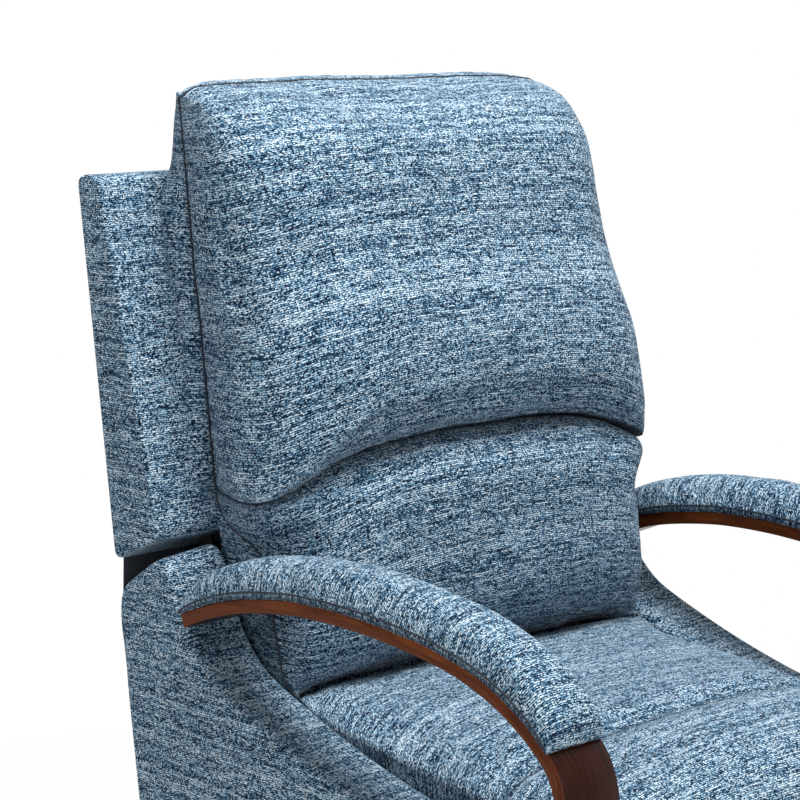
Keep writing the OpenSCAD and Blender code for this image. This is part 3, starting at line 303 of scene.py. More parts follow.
# %% Wood
def wood(name, codes, stretch, roughness, shine, chart=None):
    """Wood in three tones. The grain follows the map called chart, or else Object coordinates."""
    material, tree, base = finish(name, {"Roughness": roughness, "IOR": 1.5, "Specular IOR Level": shine})
    where = add(tree, "UVMap", uv_map=chart) if chart else add(tree, "TexCoord").outputs["Object"]
    grain = add(tree, "Mapping", [(where, 0)], _3=stretch)
    fibre = add(tree, "TexNoise", [(grain, 0)], _Scale=1.0, _Detail=6.0, _Roughness=0.6)
    pores = add(tree, "TexNoise", [(grain, 0)], _Scale=4.2, _Detail=2.0)
    colour = add(tree, "ValToRGB", [(fibre, 0)], stops=list(zip((0.34, 0.5, 0.66), codes)))
    pit = add(tree, "MapRange", [(pores, 0)], _1=0.5, _2=0.72, _3=1.0, _4=0.62)
    colour = add(tree, "Mix", [(colour, 6), (pit, 7)], data_type="RGBA", blend_type="MULTIPLY", _0=1.0)
    tree.links.new(colour.outputs[2], base.inputs["Base Color"])
    bump = add(tree, "Bump", [(pores, "Height")], _Strength=0.12, _Distance=0.0004)
    tree.links.new(bump.outputs[0], base.inputs["Normal"])
    return material
# grain 2 mm wide and 70 mm long, along the bend
walnut = wood("lacquered_walnut_veneer", ("#140402", "#240b05", "#381409"), (420, 14, 1), 0.28, 0.1, "weave")
# layers 1.6 mm thick, where the strip is cut
walnut_edge = wood("walnut_veneer_edge", ("#401a06", "#58280b", "#6f3913"), (640, 9, 1), 0.5, 0.12, "weave")
# layers 3 mm thick, with a broad pale grain
beech = wood("sanded_beech_plywood", ("#8d6840", "#b89365", "#cfae80"), (30, 14, 300), 0.62, 0.5)
print("woods", walnut.name, walnut_edge.name, beech.name)

# %% [markdown]
# ## Painted steel, zinc and moulded plastic
# Rails and bars are pressed steel under black paint, bolts and springs are zinc plated, and the glides
# and the bezel are moulded plastic with a spark texture. Plain colours would look like clay; a fine
# mottle for the surface and a broad one for its roughness are what a hand would leave on all three.

# %% Steel and plastic
def hard_finish(name, code, metallic, roughness, grain, strength):
    """A hard surface; grain is how many mottles lie side by side on a metre."""
    material, tree, base = finish(name, {"Metallic": metallic})
    at = add(tree, "TexCoord").outputs["Object"]
    mottle = add(tree, "TexNoise", [(at, 0)], _Scale=grain, _Detail=4.0)
    wear = add(tree, "TexNoise", [(at, 0)], _Scale=22.0, _Detail=5.0)
    rough = add(tree, "MapRange", [(wear, 0)], _1=0.3, _2=0.7, _3=roughness - 0.07, _4=roughness + 0.1)
    tone = add(tree, "MapRange", [(mottle, 0)], _1=0.3, _2=0.7, _3=0.86, _4=1.1)
    colour = add(tree, "Mix", [(tone, 7)], data_type="RGBA", blend_type="MULTIPLY", _0=1.0, _6=linear(code))
    tree.links.new(colour.outputs[2], base.inputs["Base Color"])
    tree.links.new(rough.outputs[0], base.inputs["Roughness"])
    bump = add(tree, "Bump", [(mottle, "Height")], _Strength=strength, _Distance=0.0003)
    tree.links.new(bump.outputs[0], base.inputs["Normal"])
    return material
# paint over pressed steel: no metal shows, with orange peel about 1.5 mm wide
black_paint = hard_finish("black_painted_steel", "#1b1b1d", 0.0, 0.38, 600.0, 0.15)
# zinc plate: bright, with a faint spangle about 3 mm wide
zinc = hard_finish("zinc_plated_steel", "#b9bcc0", 1.0, 0.34, 300.0, 0.05)
# plastics: moulded, with a spark texture of about 1 mm
black_plastic = hard_finish("moulded_black_plastic", "#17171a", 0.0, 0.5, 900.0, 0.25)
white_plastic = hard_finish("moulded_white_plastic", "#d7d7d2", 0.0, 0.45, 900.0, 0.12)
print("hard finishes", [m.name for m in (black_paint, zinc, black_plastic, white_plastic)])

# %% [markdown]
# ## Stretch fabric
# Behind the arms a dark elastic knit closes the slit between the back and the sides. It is a fine
# rib knit, which takes little light. Its loops could be woven in nodes as the cloth is, but a plain
# rib of 1 mm and a soft sheen are enough in so dark a place.

# %% Dark stretch knit
knit = {"Roughness": 0.95, "Sheen Weight": 0.3, "Base Color": linear("#141b29")}
stretch, tree, base = finish("dark_elastic_knit", knit)
uv = add(tree, "UVMap", uv_map="weave")
rib = add(tree, "TexWave", [(uv, 0)], _Scale=330.0, _Distortion=0.6, _Detail=1.0)
tone = add(tree, "ValToRGB", [(rib, 0)], stops=[(0.0, "#0b0f18"), (1.0, "#222c3f")])
tree.links.new(tone.outputs[0], base.inputs["Base Color"])
bump = add(tree, "Bump", [(rib, "Height")], _Strength=0.5, _Distance=0.0005)
tree.links.new(bump.outputs[0], base.inputs["Normal"])
print("knit", stretch.name)

# %% [markdown]
# ## Finishes of the solid parts
# Each solid part came with the name of what it is made of, as a parts list has it. Materials could be
# given part by part, but a list from one to the other can't forget a part.

# %% Give the solid parts their finishes
by_slot = {"wood_walnut": walnut, "wood_plain": beech, "steel_dark": black_paint, "steel_bright": zinc,
           "plastic_black": black_plastic, "plastic_white": white_plastic,
           "fabric_blue": cloth, "fabric_dark": stretch}
def only_material(piece, material):
    piece.data.materials.clear()
    piece.data.materials.append(material)
for part in frame["record"]["subparts"]:
    only_material(frame["nodes"][part["node"]], by_slot[part["material_slot"]])
print("solid parts", len(frame["nodes"]))

# %% [markdown]
# ## A flat piece of cloth
# Cloth is cut flat, so each sheet and each cushion starts as a flat grid. It could be a plane that is
# subdivided later; a grid primitive has its rows and columns from the start, and they become the way
# the threads run. The object stays at the origin, with its place in its mesh.

# %% Grid and selection helpers
def alone(piece):
    bpy.ops.object.select_all(action="DESELECT")
    piece.select_set(True)
    bpy.context.view_layer.objects.active = piece
def settle(piece):
    """Puts the object at the origin, unturned and unscaled, with its place in its mesh."""
    alone(piece)
    bpy.ops.object.transform_apply(location=True, rotation=True, scale=True)
def round_shaded(piece):
    for face in piece.data.polygons:
        face.use_smooth = True
def cloth_grid(name, nu, nv):
    """A flat grid from 0 to 1 both ways."""
    bpy.ops.object.select_all(action="DESELECT")
    bpy.ops.mesh.primitive_grid_add(x_subdivisions=nu, y_subdivisions=nv, size=1, location=(0.5, 0.5, 0))
    piece = bpy.context.object
    piece.name = piece.data.name = name
    settle(piece)
    return piece
print("grid helpers ready")

# %% [markdown]
# ## A closed case
# A padded piece is a closed case of cloth. The grid is extruded: depth 0 is the show face, depth 1 the
# hidden face, and the walls between are the boxing. Then each point moves to its place on the cushion.
# Because each point still knows where it lay on the flat grid, lengths along the grid give the weave
# map, and the threads follow the cushion's form. Unwrapping it by hand would stretch them.

# %% Weave map of a case
SHOW, HIDDEN = 1e-4, 1 - 1e-4   # depths below the one are on the show face, above the other on the hidden
UPRIGHT = 60                    # a hidden face that rises by more millimetres stands up
def weave_case(mesh, depth, column, row, show, hide):
    """The map of a case, in metres, from the places of its show face and its hidden face."""
    def measured(lines):
        steps = np.linalg.norm(np.diff(lines, axis=0), axis=2)
        return np.vstack([np.zeros((1, lines.shape[1])), np.cumsum(steps, axis=0)])
    middle = len(show) // 2
    along, up = measured(show), measured(show.transpose(1, 0, 2)).T
    along = along - along[middle]
    # a thread runs straight along a row, so its height on the map is taken up the middle
    up = up[middle]
    rise = 2 if abs(hide[0, -1][2] - hide[0, 0][2]) > UPRIGHT else 1
    coords = mesh.uv_layers.new(name="weave").data
    for face in mesh.polygons:
        depths = [depth[v] for v in face.vertices]
        for loop in face.loop_indices:
            n = mesh.loops[loop].vertex_index
            i, j = column[n], row[n]
            if max(depths) < SHOW:
                uv = (along[i, j], up[j])
            elif min(depths) > HIDDEN:
                uv = (hide[i, j][0], hide[i, j][rise])
            else:
                wall = depth[n] * np.linalg.norm(hide[i, j] - show[i, j])
                if abs(face.normal.x) > 0.5:
                    uv = (wall, up[j])
                else:
                    uv = (along[i, j], up[j] + (wall if j else -wall))
            coords[loop].uv = (uv[0] / 1000, uv[1] / 1000)
print("hidden faces that rise by", UPRIGHT, "mm are mapped upright")

# %% [markdown]
# ## Making the case
# Extruding as many walls as the boxing needs and then moving the points keeps one mesh with even
# faces. Joining two sheets by hand would leave a seam of uneven ones, where cloth would crease.

# %% Case of cloth
def case(name, nu, nv, walls, spot):
    """A closed case from a grid of nu by nv; spot(u, v, s) gives each point's place in millimetres.
    With it come, for each point, its depth, its column, its row and its steps from the grid's edge."""
    piece = cloth_grid(name, nu, nv)
    bpy.ops.object.mode_set(mode="EDIT")
    bpy.ops.mesh.select_all(action="SELECT")
    for wall in range(walls):
        bpy.ops.mesh.extrude_region_move(TRANSFORM_OT_translate={"value": (0, 0, 1 / walls)})
    bpy.ops.object.mode_set(mode="OBJECT")
    mesh = piece.data
    flat = np.array([v.co for v in mesh.vertices])
    across, upward, depth = flat[:, 0].round(5), flat[:, 1].round(5), flat[:, 2]
    us, vs = np.unique(across), np.unique(upward)
    column, row = np.searchsorted(us, across), np.searchsorted(vs, upward)
    show = np.array([[spot(u, v, 0.0) for v in vs] for u in us])
    hide = np.array([[spot(u, v, 1.0) for v in vs] for u in us])
    weave_case(mesh, depth, column, row, show, hide)
    for v, s, i, j in zip(mesh.vertices, depth, column, row):
        here = show[i, j] if s < SHOW else hide[i, j] if s > HIDDEN else spot(us[i], vs[j], float(s))
        v.co = place(*here)
    bpy.ops.object.mode_set(mode="EDIT")
    bpy.ops.mesh.select_all(action="SELECT")
    bpy.ops.mesh.normals_make_consistent(inside=False)
    bpy.ops.object.mode_set(mode="OBJECT")
    edge = np.minimum(np.minimum(column, len(us) - 1 - column), np.minimum(row, len(vs) - 1 - row))
    return piece, depth, column, row, edge
def ones(where):
    return np.where(where, 1.0, 0.0)
def paint_seam_shade(piece, weights):
    """Stores the painted shade along seams and creases at each point, from 0 to 1; the same weight puckers the
    cover.
    """
    attribute = piece.data.attributes.new("seam", "FLOAT", "POINT")
    attribute.data.foreach_set("value", np.clip(weights, 0, 1).astype(np.float32))
print("case helpers ready")

# %% [markdown]
# ## Filling the cases
# A foam core pushes its cover outwards, and the seams hold it back, which gives the small tucks along
# them. Sculpting could fake that, but a short cloth simulation does it as the real cover does: the
# hidden face and the seams are held, air pressure stands for the foam, and the move is capped.

# %% Swell a case by cloth simulation
SWELL_FRAMES = 20
def swell(piece, held, cap, pressure=4.0, grow=0.012):
    """Blows the case up where held is under 1, by no more than cap metres; gives the move before the cap."""
    start = np.array([v.co for v in piece.data.vertices])
    group = piece.vertex_groups.new(name="held")
    for n, weight in enumerate(held):
        if weight > 0:
            group.add([n], float(min(1, weight)), "REPLACE")
    modifier = piece.modifiers.new("cover", "CLOTH")
    settings = modifier.settings
    settings.quality, settings.mass = 5, 0.35
    settings.tension_stiffness = settings.compression_stiffness = 18
    settings.shear_stiffness, settings.bending_stiffness = 6, 0.8
    settings.tension_damping = settings.compression_damping = settings.shear_damping = 12
    settings.air_damping = 4
    settings.use_pressure, settings.uniform_pressure_force = True, pressure
    settings.shrink_min = -grow
    settings.vertex_group_mass = "held"
    settings.pin_stiffness = 1.0
    settings.effector_weights.gravity = 0
    modifier.collision_settings.use_collision = False
    modifier.point_cache.frame_start, modifier.point_cache.frame_end = 1, SWELL_FRAMES
    for f in range(1, SWELL_FRAMES + 1):
        scene.frame_set(f)
    shaped = piece.evaluated_get(bpy.context.evaluated_depsgraph_get()).to_mesh()
    end = np.array([v.co for v in shaped.vertices])
    piece.modifiers.remove(modifier)
    piece.vertex_groups.remove(group)
    scene.frame_set(1)
    move = end - start
    far = np.linalg.norm(move, axis=1)
    move *= np.minimum(1, cap / np.maximum(far, 1e-9))[:, None]
    piece.data.vertices.foreach_set("co", (start + move).astype(np.float32).ravel())
    piece.data.update()
    return float(far.max())
print("simulation of", SWELL_FRAMES, "frames, skipped now:", bool(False))

# %% [markdown]
# ## Finishing a cover
# A used cover is never quite even. The simulated case is refined once, then each point moves a little
# along its normal by soft noise, with a finer pucker where the seams draw the cloth in. A displacement
# modifier could do it from a texture, but it can't tell a seam from the middle of a cushion.

# %% Refine, rumple and dress
PUCKER = 0.009   # metres from one pucker of a seam to the next
def finer(piece):
    modifier = piece.modifiers.new("finer", "SUBSURF")
    modifier.levels = modifier.render_levels = 1
    alone(piece)
    bpy.ops.object.modifier_apply(modifier="finer")
    round_shaded(piece)
def rumple(piece, height, size, pucker, seed):
    """Moves each point along its normal by soft noise, in metres, and puckers it near the seams."""
    seam = np.zeros(len(piece.data.vertices), np.float32)
    piece.data.attributes["seam"].data.foreach_get("value", seam)
    moves = []
    for v, s in zip(piece.data.vertices, seam):
        at = v.co / size + Vector((seed, seed, seed))
        move = noise.noise(at) * height + noise.noise(at * 2.3) * height * 0.4
        moves.append(v.normal * (move + pucker * s * noise.noise(v.co / PUCKER)))
    for v, move in zip(piece.data.vertices, moves):
        v.co = v.co + move
    piece.data.update()
def dress(piece, material, body, slot, *nodes):
    """Gives a piece its material and the body it moves with, and hides the solid parts in nodes; slot is not used.
    """
    only_material(piece, material)
    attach(piece, body)
    if nodes:
        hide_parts(*nodes)
    return piece
print("seams pucker every", PUCKER * 1000, "mm")

# %% [markdown]
# ## Seam lines
# Where two pieces of cloth are sewn, the stitches lie in a shallow line. They could be painted on, but
# a painted line blurs where the cloth turns away. Here a thin thread runs through points of the
# finished cover, half sunk in it, so it catches light and shadow as sewing does. The points of the
# first grid keep their numbers when the cover is refined, so the line is found by column and row.

# %% Thread along a seam
def seam_line(name, cover, where, key, body, radius=0.0013):
    """A thread along the cover's points that where picks, in the order of key."""
    order = np.where(where)[0]
    points = [cover.data.vertices[int(n)].co.copy() for n in order[np.argsort(key[order])]]
    line = bpy.data.curves.new(name, "CURVE")
    line.dimensions, line.bevel_depth, line.bevel_resolution = "3D", radius, 1
    spline = line.splines.new("POLY")
    spline.points.add(len(points) - 1)
    for point, co in zip(spline.points, points):
        point.co = (*co, 1)
    piece = bpy.data.objects.new(name, line)
    scene.collection.objects.link(piece)
    alone(piece)
    bpy.ops.object.convert(target="MESH")
    piece = bpy.context.object
    piece.data.name = name
    round_shaded(piece)
    only_material(piece, thread)
    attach(piece, body)
print("seam helper ready")

# %% [markdown]
# ## Plan of the pillows
# Seen from above, a pillow's plan is a squarish half round, so the sides turn back fast and the front
# stays broad. A plain half circle would be too pointed. Steps along that curve and up its profile are
# made equal in length, or the cloth would smear. Both pillows rest on the frame's sloping face.

# %% Plan curve, even steps and the pillows' shared lines
PILLOW_HALF, FRAME_TOP = GAP_HALF - 5, 992
def half_round(square, half, depth):
    """Squarish half round as a function of the share of its length: across from -1 to 1, and out 0 to 1."""
    a = np.linspace(0, math.pi, 3200)
    x = -np.sign(np.cos(a)) * np.abs(np.cos(a)) ** (2 / square)
    y = np.maximum(0, np.sin(a)) ** (2 / square)
    length = run_along(np.column_stack([x * half, y * depth]))
    length /= length[-1]
    return lambda t: (float(np.interp(t, length, x)), float(np.interp(t, length, y)))
def near_ends(t, w):
    """Shortens the first and last steps, so that the seams get fine rows."""
    return lerp(t, (1 - math.cos(math.pi * t)) / 2, w)
def even_rows(profile, n):
    """Turns a share of a profile's length into a share of its height."""
    shares = np.linspace(0, 1, n)
    length = run_along([profile(v) for v in shares])
    return lambda t: float(np.interp(t * length[-1], length, shares))
def line_y(a, b, z):
    """Where the line through two places in Y and Z is at height z."""
    return lerp(a[0], b[0], (z - a[1]) / (b[1] - a[1]))
def frame_face(z):
    return line_y((-58, 632), (32, FRAME_TOP), z)
def crease(x):
    """The height of the crease between the pillows: x is 0 in the middle and 1 at the side."""
    return lerp(CREASE_MID, CREASE_SIDE, abs(x) ** 3.2)
# half the width of the boxing where it meets the frame, by height
boxing = graph([(560, 264), (600, 264), (623, 269), (640, 281), (656, 296), (703, 292), (752, 285),
                (790, 279), (931, 276), (971, 268), (1006, 252), (1088, 250)])
def crease_shade(depth, steps):
    """The dark of a crease, which fades within a few rows from it."""
    return np.where(depth < 0.3, 0.85 * np.exp(-steps / 1.1), 0)
print("pillows", 2 * PILLOW_HALF, "mm between their seams")

# %% [markdown]
# ## Head pillow
# The head pillow is a knife-edged bag of fibre on a boxed core: square in plan, fullest a third of the
# way up, and rounded over the top. A box with a bevel could stand for it, but its filling sags; a
# measured profile and a plan give each point its place, and the simulation does the rest.

# %% Shape of the head pillow
HEAD_DEPTH, HEAD_LOW = 172, 700
head_depth = graph([(0, 0.81), (0.02, 0.91), (0.05, 0.96), (0.1, 0.99), (0.2, 1.0), (0.3, 0.98), (0.41, 0.92),
                    (0.54, 0.82), (0.65, 0.77), (0.76, 0.72), (0.86, 0.63), (0.95, 0.43), (1, 0.09)])
head_plan = half_round(5.2, PILLOW_HALF, HEAD_DEPTH)
def head_seam(z):
    """Where the pillow's side seams lie, in Y."""
    return line_y((-61, 645), (-8, 1050), z)
def head_profile(v):
    z = lerp(HEAD_LOW, HEAD_TOP, v)
    return -HEAD_DEPTH * head_depth(v) + head_seam(z), z
head_row = even_rows(head_profile, 2000)
def head_spot(u, v, s):
    u, v = near_ends(u, 0.7), head_row(near_ends(v, 0.5))
    x, y = head_plan(u)
    z = lerp(crease(x), HEAD_TOP - 6 * x ** 4 - 9 * abs(x) ** 40, v)
    d = lerp(head_depth(v), max(head_depth(v), 0.97 if v < 0.3 else 0), abs(x) ** 6)
    # the filling sags, so the bag is widest just above the crease
    wide = 24 * d + 13 * max(0, 1 - v / 0.4) ** 1.5
    front = np.array((x * (PILLOW_HALF + wide * y * (2 - y)), head_seam(z) - HEAD_DEPTH * d * y, z))
    t = (z - FRAME_TOP) / (HEAD_TOP - FRAME_TOP)
    rear_y = frame_face(z) - 0.3 if t < 0 else lerp(31.7, 8, t * t)
    # under the bag the case draws in behind its seams, or its floor would stick out of them
    inside = min(1, 25 * y) * max(0, 1 - v / 0.08)
    # no two points of the hidden face may fall together, or the cloth can't be simulated
    rear = np.array((lerp(x, 2 * u - 1, 0.25) * lerp(boxing(z), PILLOW_HALF - 8, inside), rear_y, z))
    # the boxing bellies out by 5 mm between its two seams
    out = 20 * s * (1 - s)
    belly = (out * x if abs(x) > 0.98 and v > 0.02 else 0, 0, out if v > 0.999 else 0)
    return lerp(front, rear, s) + np.array(belly)
print("head pillow", HEAD_DEPTH, "mm deep")

# %% [markdown]
# ## Sewing the head pillow
# The seams run up both sides and over the top, and the bag is tucked in at the crease. These are the
# places that the filling can't push out, so they are held in the simulation and given a little painted shade.

# %% Head pillow
head, depth, column, row, edge = case("head_pillow_cover", 96, 80, 4, head_spot)
seams = ones((depth < SHOW) & (edge == 0) & (row > 0))
# painted shade along the seams and in the crease at the pillow's foot
paint_seam_shade(head, np.maximum(seams * 0.35, crease_shade(depth, row)))
held = ones(depth > HIDDEN) + seams * 0.9 + ones(row == 0)
print("head pillow moved", swell(head, held, cap=0.005))
finer(head)
rumple(head, 0.0022, 0.085, 0.0010, 4.0)
dress(head, cloth, "back", "fabric_blue", "head_pillow")
show_face = depth < SHOW
seam_line("head_seam_right", head, show_face & (column == 0), row, "back")
seam_line("head_seam_left", head, show_face & (column == column.max()), row, "back")
seam_line("head_seam_top", head, show_face & (row == row.max()), column, "back")
print("head pillow", len(head.data.polygons), "faces")

# %% [markdown]
# ## Lumbar cushion
# Below the crease a second bag fills the hollow of the back. It is fuller in the middle than at its
# sides, and its top is tucked under the head pillow, which hides the join. One bag with a crease
# pressed into it would be less work, but then both halves would swell as one.

# %% Shape of the lumbar cushion
LUMBAR_DEPTH, LUMBAR_LOW = 225, 448
lumbar_side = graph([(0, 0.92), (0.04, 0.88), (0.08, 0.81), (0.15, 0.765), (0.27, 0.735), (0.4, 0.70), (0.6, 0.65),
                     (0.72, 0.6), (0.77, 0.52), (0.81, 0.42), (0.86, 0.34), (0.93, 0.285), (1, 0.265)])
lumbar_mid = graph([(0, 0.67), (0.07, 0.84), (0.18, 0.95), (0.4, 1.0), (0.75, 0.98), (0.9, 0.935),
                    (0.96, 0.885), (1, 0.76)])
lumbar_plan = half_round(5.0, PILLOW_HALF, 110)
def lumbar_spot(u, v, s):
    u, v = near_ends(u, 0.7), near_ends(v, 0.2)
    x, y = lumbar_plan(u)
    z = lerp(LUMBAR_LOW - 5 * x ** 6, crease(x) - 0.8, v)
    # the bag clears the side panels low down and swells to the head pillow's width at its top
    full = max(0, min(1, (v - 0.72) / 0.21))
    full = full * full * (3 - 2 * full)
    middle = lerp(lumbar_mid(v), max(lumbar_mid(v), 0.99), full * abs(x) ** 8)
    half = PILLOW_HALF - 6 * (1 - full) * y + 33 * full * y * (2 - y)
    front = np.array((x * half, -LUMBAR_DEPTH * lerp(lumbar_side(v), middle, y), z))
    behind = lerp(-64, frame_face(z) - 0.3, max(0, min(1, (z - 612) / 22)))
    inside = min(1, 25 * y) * max(0, 1 - (1 - v) / 0.08)
    half = lerp(boxing(z) if v > 0.5 else PILLOW_HALF, PILLOW_HALF - 8, inside)
    rear = np.array((lerp(x, 2 * u - 1, 0.25) * half, behind, z))
    return lerp(front, rear, s)
print("lumbar cushion", LUMBAR_DEPTH, "mm deep")

# %% [markdown]
# ## Sewing the lumbar cushion
# It is sewn up both sides. Its boxing passes close to the side panels when the back reclines, as a
# tight cover does on the real chair, so the boxing is held too and only the front swells.

# %% Lumbar cushion
lumbar, depth, column, row, edge = case("lumbar_cushion_cover", 96, 44, 3, lumbar_spot)
seams = ones((depth < SHOW) & ((column == 0) | (column == column.max())))
# painted shade along the side seams and at the top, in the crease under the head pillow
paint_seam_shade(lumbar, np.maximum(seams * 0.35, crease_shade(depth, row.max() - row)))
held = ones(depth > HIDDEN) + seams * 0.9
held += ones((row == 0) | (row == row.max()) | ((edge == 0) & (depth > 0.1)))
print("lumbar moved", swell(lumbar, held, cap=0.005))
finer(lumbar)
rumple(lumbar, 0.0024, 0.07, 0.0010, 9.0)
dress(lumbar, cloth, "back", "fabric_blue", "lumbar_cushion")
seam_line("lumbar_seam_right", lumbar, (depth < SHOW) & (column == 0), row, "back")
seam_line("lumbar_seam_left", lumbar, (depth < SHOW) & (column == column.max()), row, "back")
print("lumbar cushion", len(lumbar.data.polygons), "faces")

# %% [markdown]
# ## Seat cushion
# The seat is a thick foam block with a sewn channel across it, a front that rolls down over the
# footrest, and a rear edge that dips under the lumbar cushion. Its top is crowned across and its sides
# draw in at the bottom, where the cover is pulled under the foam. The channel could be cut with a
# tool, but a hollow in the profile keeps the rows of the grid running across it.

# %% Shape of the seat cushion
SEAT_HALF, ROLL, REAR_DIP = GAP_HALF - 4, 60, 12
# the height of the side panel's edge, by the distance from the chair's back
panel_top = graph([(120, 500), (152, 477), (194, 456), (210, 441), (250, 431), (313, 421), (366, 413), (440, 403),
                   (523, 388), (676, 380)])
def bulge(t, square):
    """A squarish hump, from 0 at the ends to 1 in the middle."""
    return max(0, 1 - abs(2 * t - 1) ** square) ** (1 / square)
def channel(y):
    return CHANNEL_DEPTH * math.exp(-((y - CHANNEL_Y) / (CHANNEL_DEPTH * 0.9)) ** 2)
def seat_fall(y):
    """How far the seat's top lies under its highest line, by the distance from the chair's back."""
    f = max(0, y - (SEAT_FRONT - ROLL)) / ROLL
    roll = (SEAT_TOP - SEAT_UNDER) * 0.48 * (1 - math.sqrt(max(0, 1 - min(1, f) ** 2)))
    front = 18 * max(0, (y - CHANNEL_Y) / (SEAT_FRONT - CHANNEL_Y)) ** 2
    dip = REAR_DIP * (1 + math.cos(math.pi * min(1, max(0, y - SEAT_REAR) / ROLL))) / 2
    return roll + front + dip + channel(y)
def seat_profile(v):
    y = lerp(SEAT_REAR, SEAT_FRONT, v)
    return y, -seat_fall(y)
seat_row = even_rows(seat_profile, 3000)
def seat_spot(u, v, s):
    u = near_ends(u, 0.6)
    y = lerp(SEAT_REAR, SEAT_FRONT, seat_row(v))
    rear_y = SEAT_REAR + 46 * (1 - bulge(u, 3))
    y += (rear_y - SEAT_REAR) * (1 - (y - SEAT_REAR) / (SEAT_FRONT - SEAT_REAR)) ** 3
    x = SEAT_HALF * (2 * u - 1)
    # the cover rolls down to the side panel's edge, wherever that is
    down = max(6, SEAT_TOP - seat_fall(y) - max(panel_top(y) + 2, SEAT_UNDER + 15))
    top = np.array((x, -y, SEAT_TOP - down * (1 - bulge(u, 2.4)) - seat_fall(y)))
    ahead = max(0, (y - CHANNEL_Y) / (SEAT_FRONT - CHANNEL_Y))
    nose = 19 * max(0, 1 - (SEAT_FRONT - y) / 36)
    low = np.array((x * (SEAT_HALF - 8) / SEAT_HALF, 8 * ahead - y, SEAT_UNDER + nose))
    return lerp(top, low, s)
print("channel", CHANNEL_DEPTH, "mm deep,", SEAT_FRONT - CHANNEL_Y, "mm behind the front")

# %% [markdown]
# ## Sewing the seat cushion
# The channel is a line of stitches through the foam. It is held nearly fast, the two side seams a
# little less, and the cover can rise between them.

# %% Seat cushion
seat, depth, column, row, edge = case("seat_cushion_cover", 84, 130, 4, seat_spot)
forward = np.array([306 - v.co.y * 1000 for v in seat.data.vertices])
in_channel = np.where(depth < SHOW, np.exp(-((forward - CHANNEL_Y) / 3.2) ** 2), 0)
seams = ones((depth < SHOW) & ((column == 0) | (column == column.max())))
# painted shade along the side seams and in the sewn channel
paint_seam_shade(seat, np.maximum(seams * 0.6, in_channel * 0.7))
held = ones(depth > HIDDEN) + seams * 0.8 + np.where(in_channel > 0.3, 0.95, 0)
held += ones((row == 0) | (forward > 640))
print("seat moved", swell(seat, held, cap=0.004))
finer(seat)
rumple(seat, 0.0016, 0.09, 0.0009, 2.0)
dress(seat, cloth, "seat", "fabric_blue", "seat_cushion")
print("seat", len(seat.data.polygons), "faces")

# %% [markdown]
# ## Boards and bent veneer
# Panels and arms are one outline, cut or bent, with rounded edges. The outline could be drawn as a
# curve and thickened; here a circle with as many points as the outline is moved onto it, extruded
# across the chair and bevelled, because that leaves one clean mesh that can still be edited.

# %% Board from an outline
def corner_round(a, b, c, r):
    """Points that round the corner b between a and c, from r millimetres before it to r after it."""
    a, b, c = map(np.array, (a, b, c))
    u, w = (a - b) / np.linalg.norm(a - b), (c - b) / np.linalg.norm(c - b)
    return [tuple((1 - t) ** 2 * (b + r * u) + 2 * t * (1 - t) * b + t * t * (b + r * w))
            for t in np.linspace(0, 1, 7)]
def board(name, outline, x0, x1, edge, segments):
    """A board between x0 and x1 with that outline in Y and Z, and its edges rounded."""
    bpy.ops.object.select_all(action="DESELECT")
    bpy.ops.mesh.primitive_circle_add(vertices=len(outline), radius=1, fill_type="NGON")
    piece = bpy.context.object
    piece.name = piece.data.name = name
    for v, (y, z) in zip(piece.data.vertices, outline):
        v.co = place(x0, y, z)
    bpy.ops.object.mode_set(mode="EDIT")
    bpy.ops.mesh.select_all(action="SELECT")
    bpy.ops.mesh.extrude_region_move(TRANSFORM_OT_translate={"value": ((x1 - x0) / 1000, 0, 0)})
    bpy.ops.mesh.select_all(action="SELECT")
    bpy.ops.mesh.normals_make_consistent(inside=False)
    bpy.ops.mesh.select_all(action="DESELECT")
    bpy.ops.mesh.select_mode(type="EDGE")
    bpy.ops.object.mode_set(mode="OBJECT")
    # the edges to round lie between one of the two flat faces and the rim
    flats = {}
    for face in piece.data.polygons:
        for key in face.edge_keys:
            flats[key] = flats.get(key, 0) + (abs(face.normal.x) > 0.5)
    for e in piece.data.edges:
        e.select = flats[e.key] == 1
    bpy.ops.object.mode_set(mode="EDIT")
    bpy.ops.mesh.bevel(offset=edge / 1000, segments=segments, profile=0.5, affect="EDGES",
                       clamp_overlap=False, loop_slide=False)
    bpy.ops.mesh.select_mode(type="VERT")
    bpy.ops.mesh.select_all(action="SELECT")
    bpy.ops.mesh.normals_make_consistent(inside=False)
    bpy.ops.object.mode_set(mode="OBJECT")
    return piece
def smooth(piece, angle):
    alone(piece)
    bpy.ops.object.shade_smooth_by_angle(angle=math.radians(angle))
def cut(piece, tool):
    modifier = piece.modifiers.new("cut", "BOOLEAN")
    modifier.operation, modifier.object, modifier.solver = "DIFFERENCE", tool, "EXACT"
    alone(piece)
    bpy.ops.object.modifier_apply(modifier="cut")
    bpy.data.objects.remove(tool)
print("board helpers ready")

# %% [markdown]
# ## Grain and threads of a board
# On the rim of a board the threads follow its bend, and on its two flat faces they lie straight, as
# the cloth was laid on. A box projection would break them at the bend; here each point is measured
# along the nearest stretch of the outline.

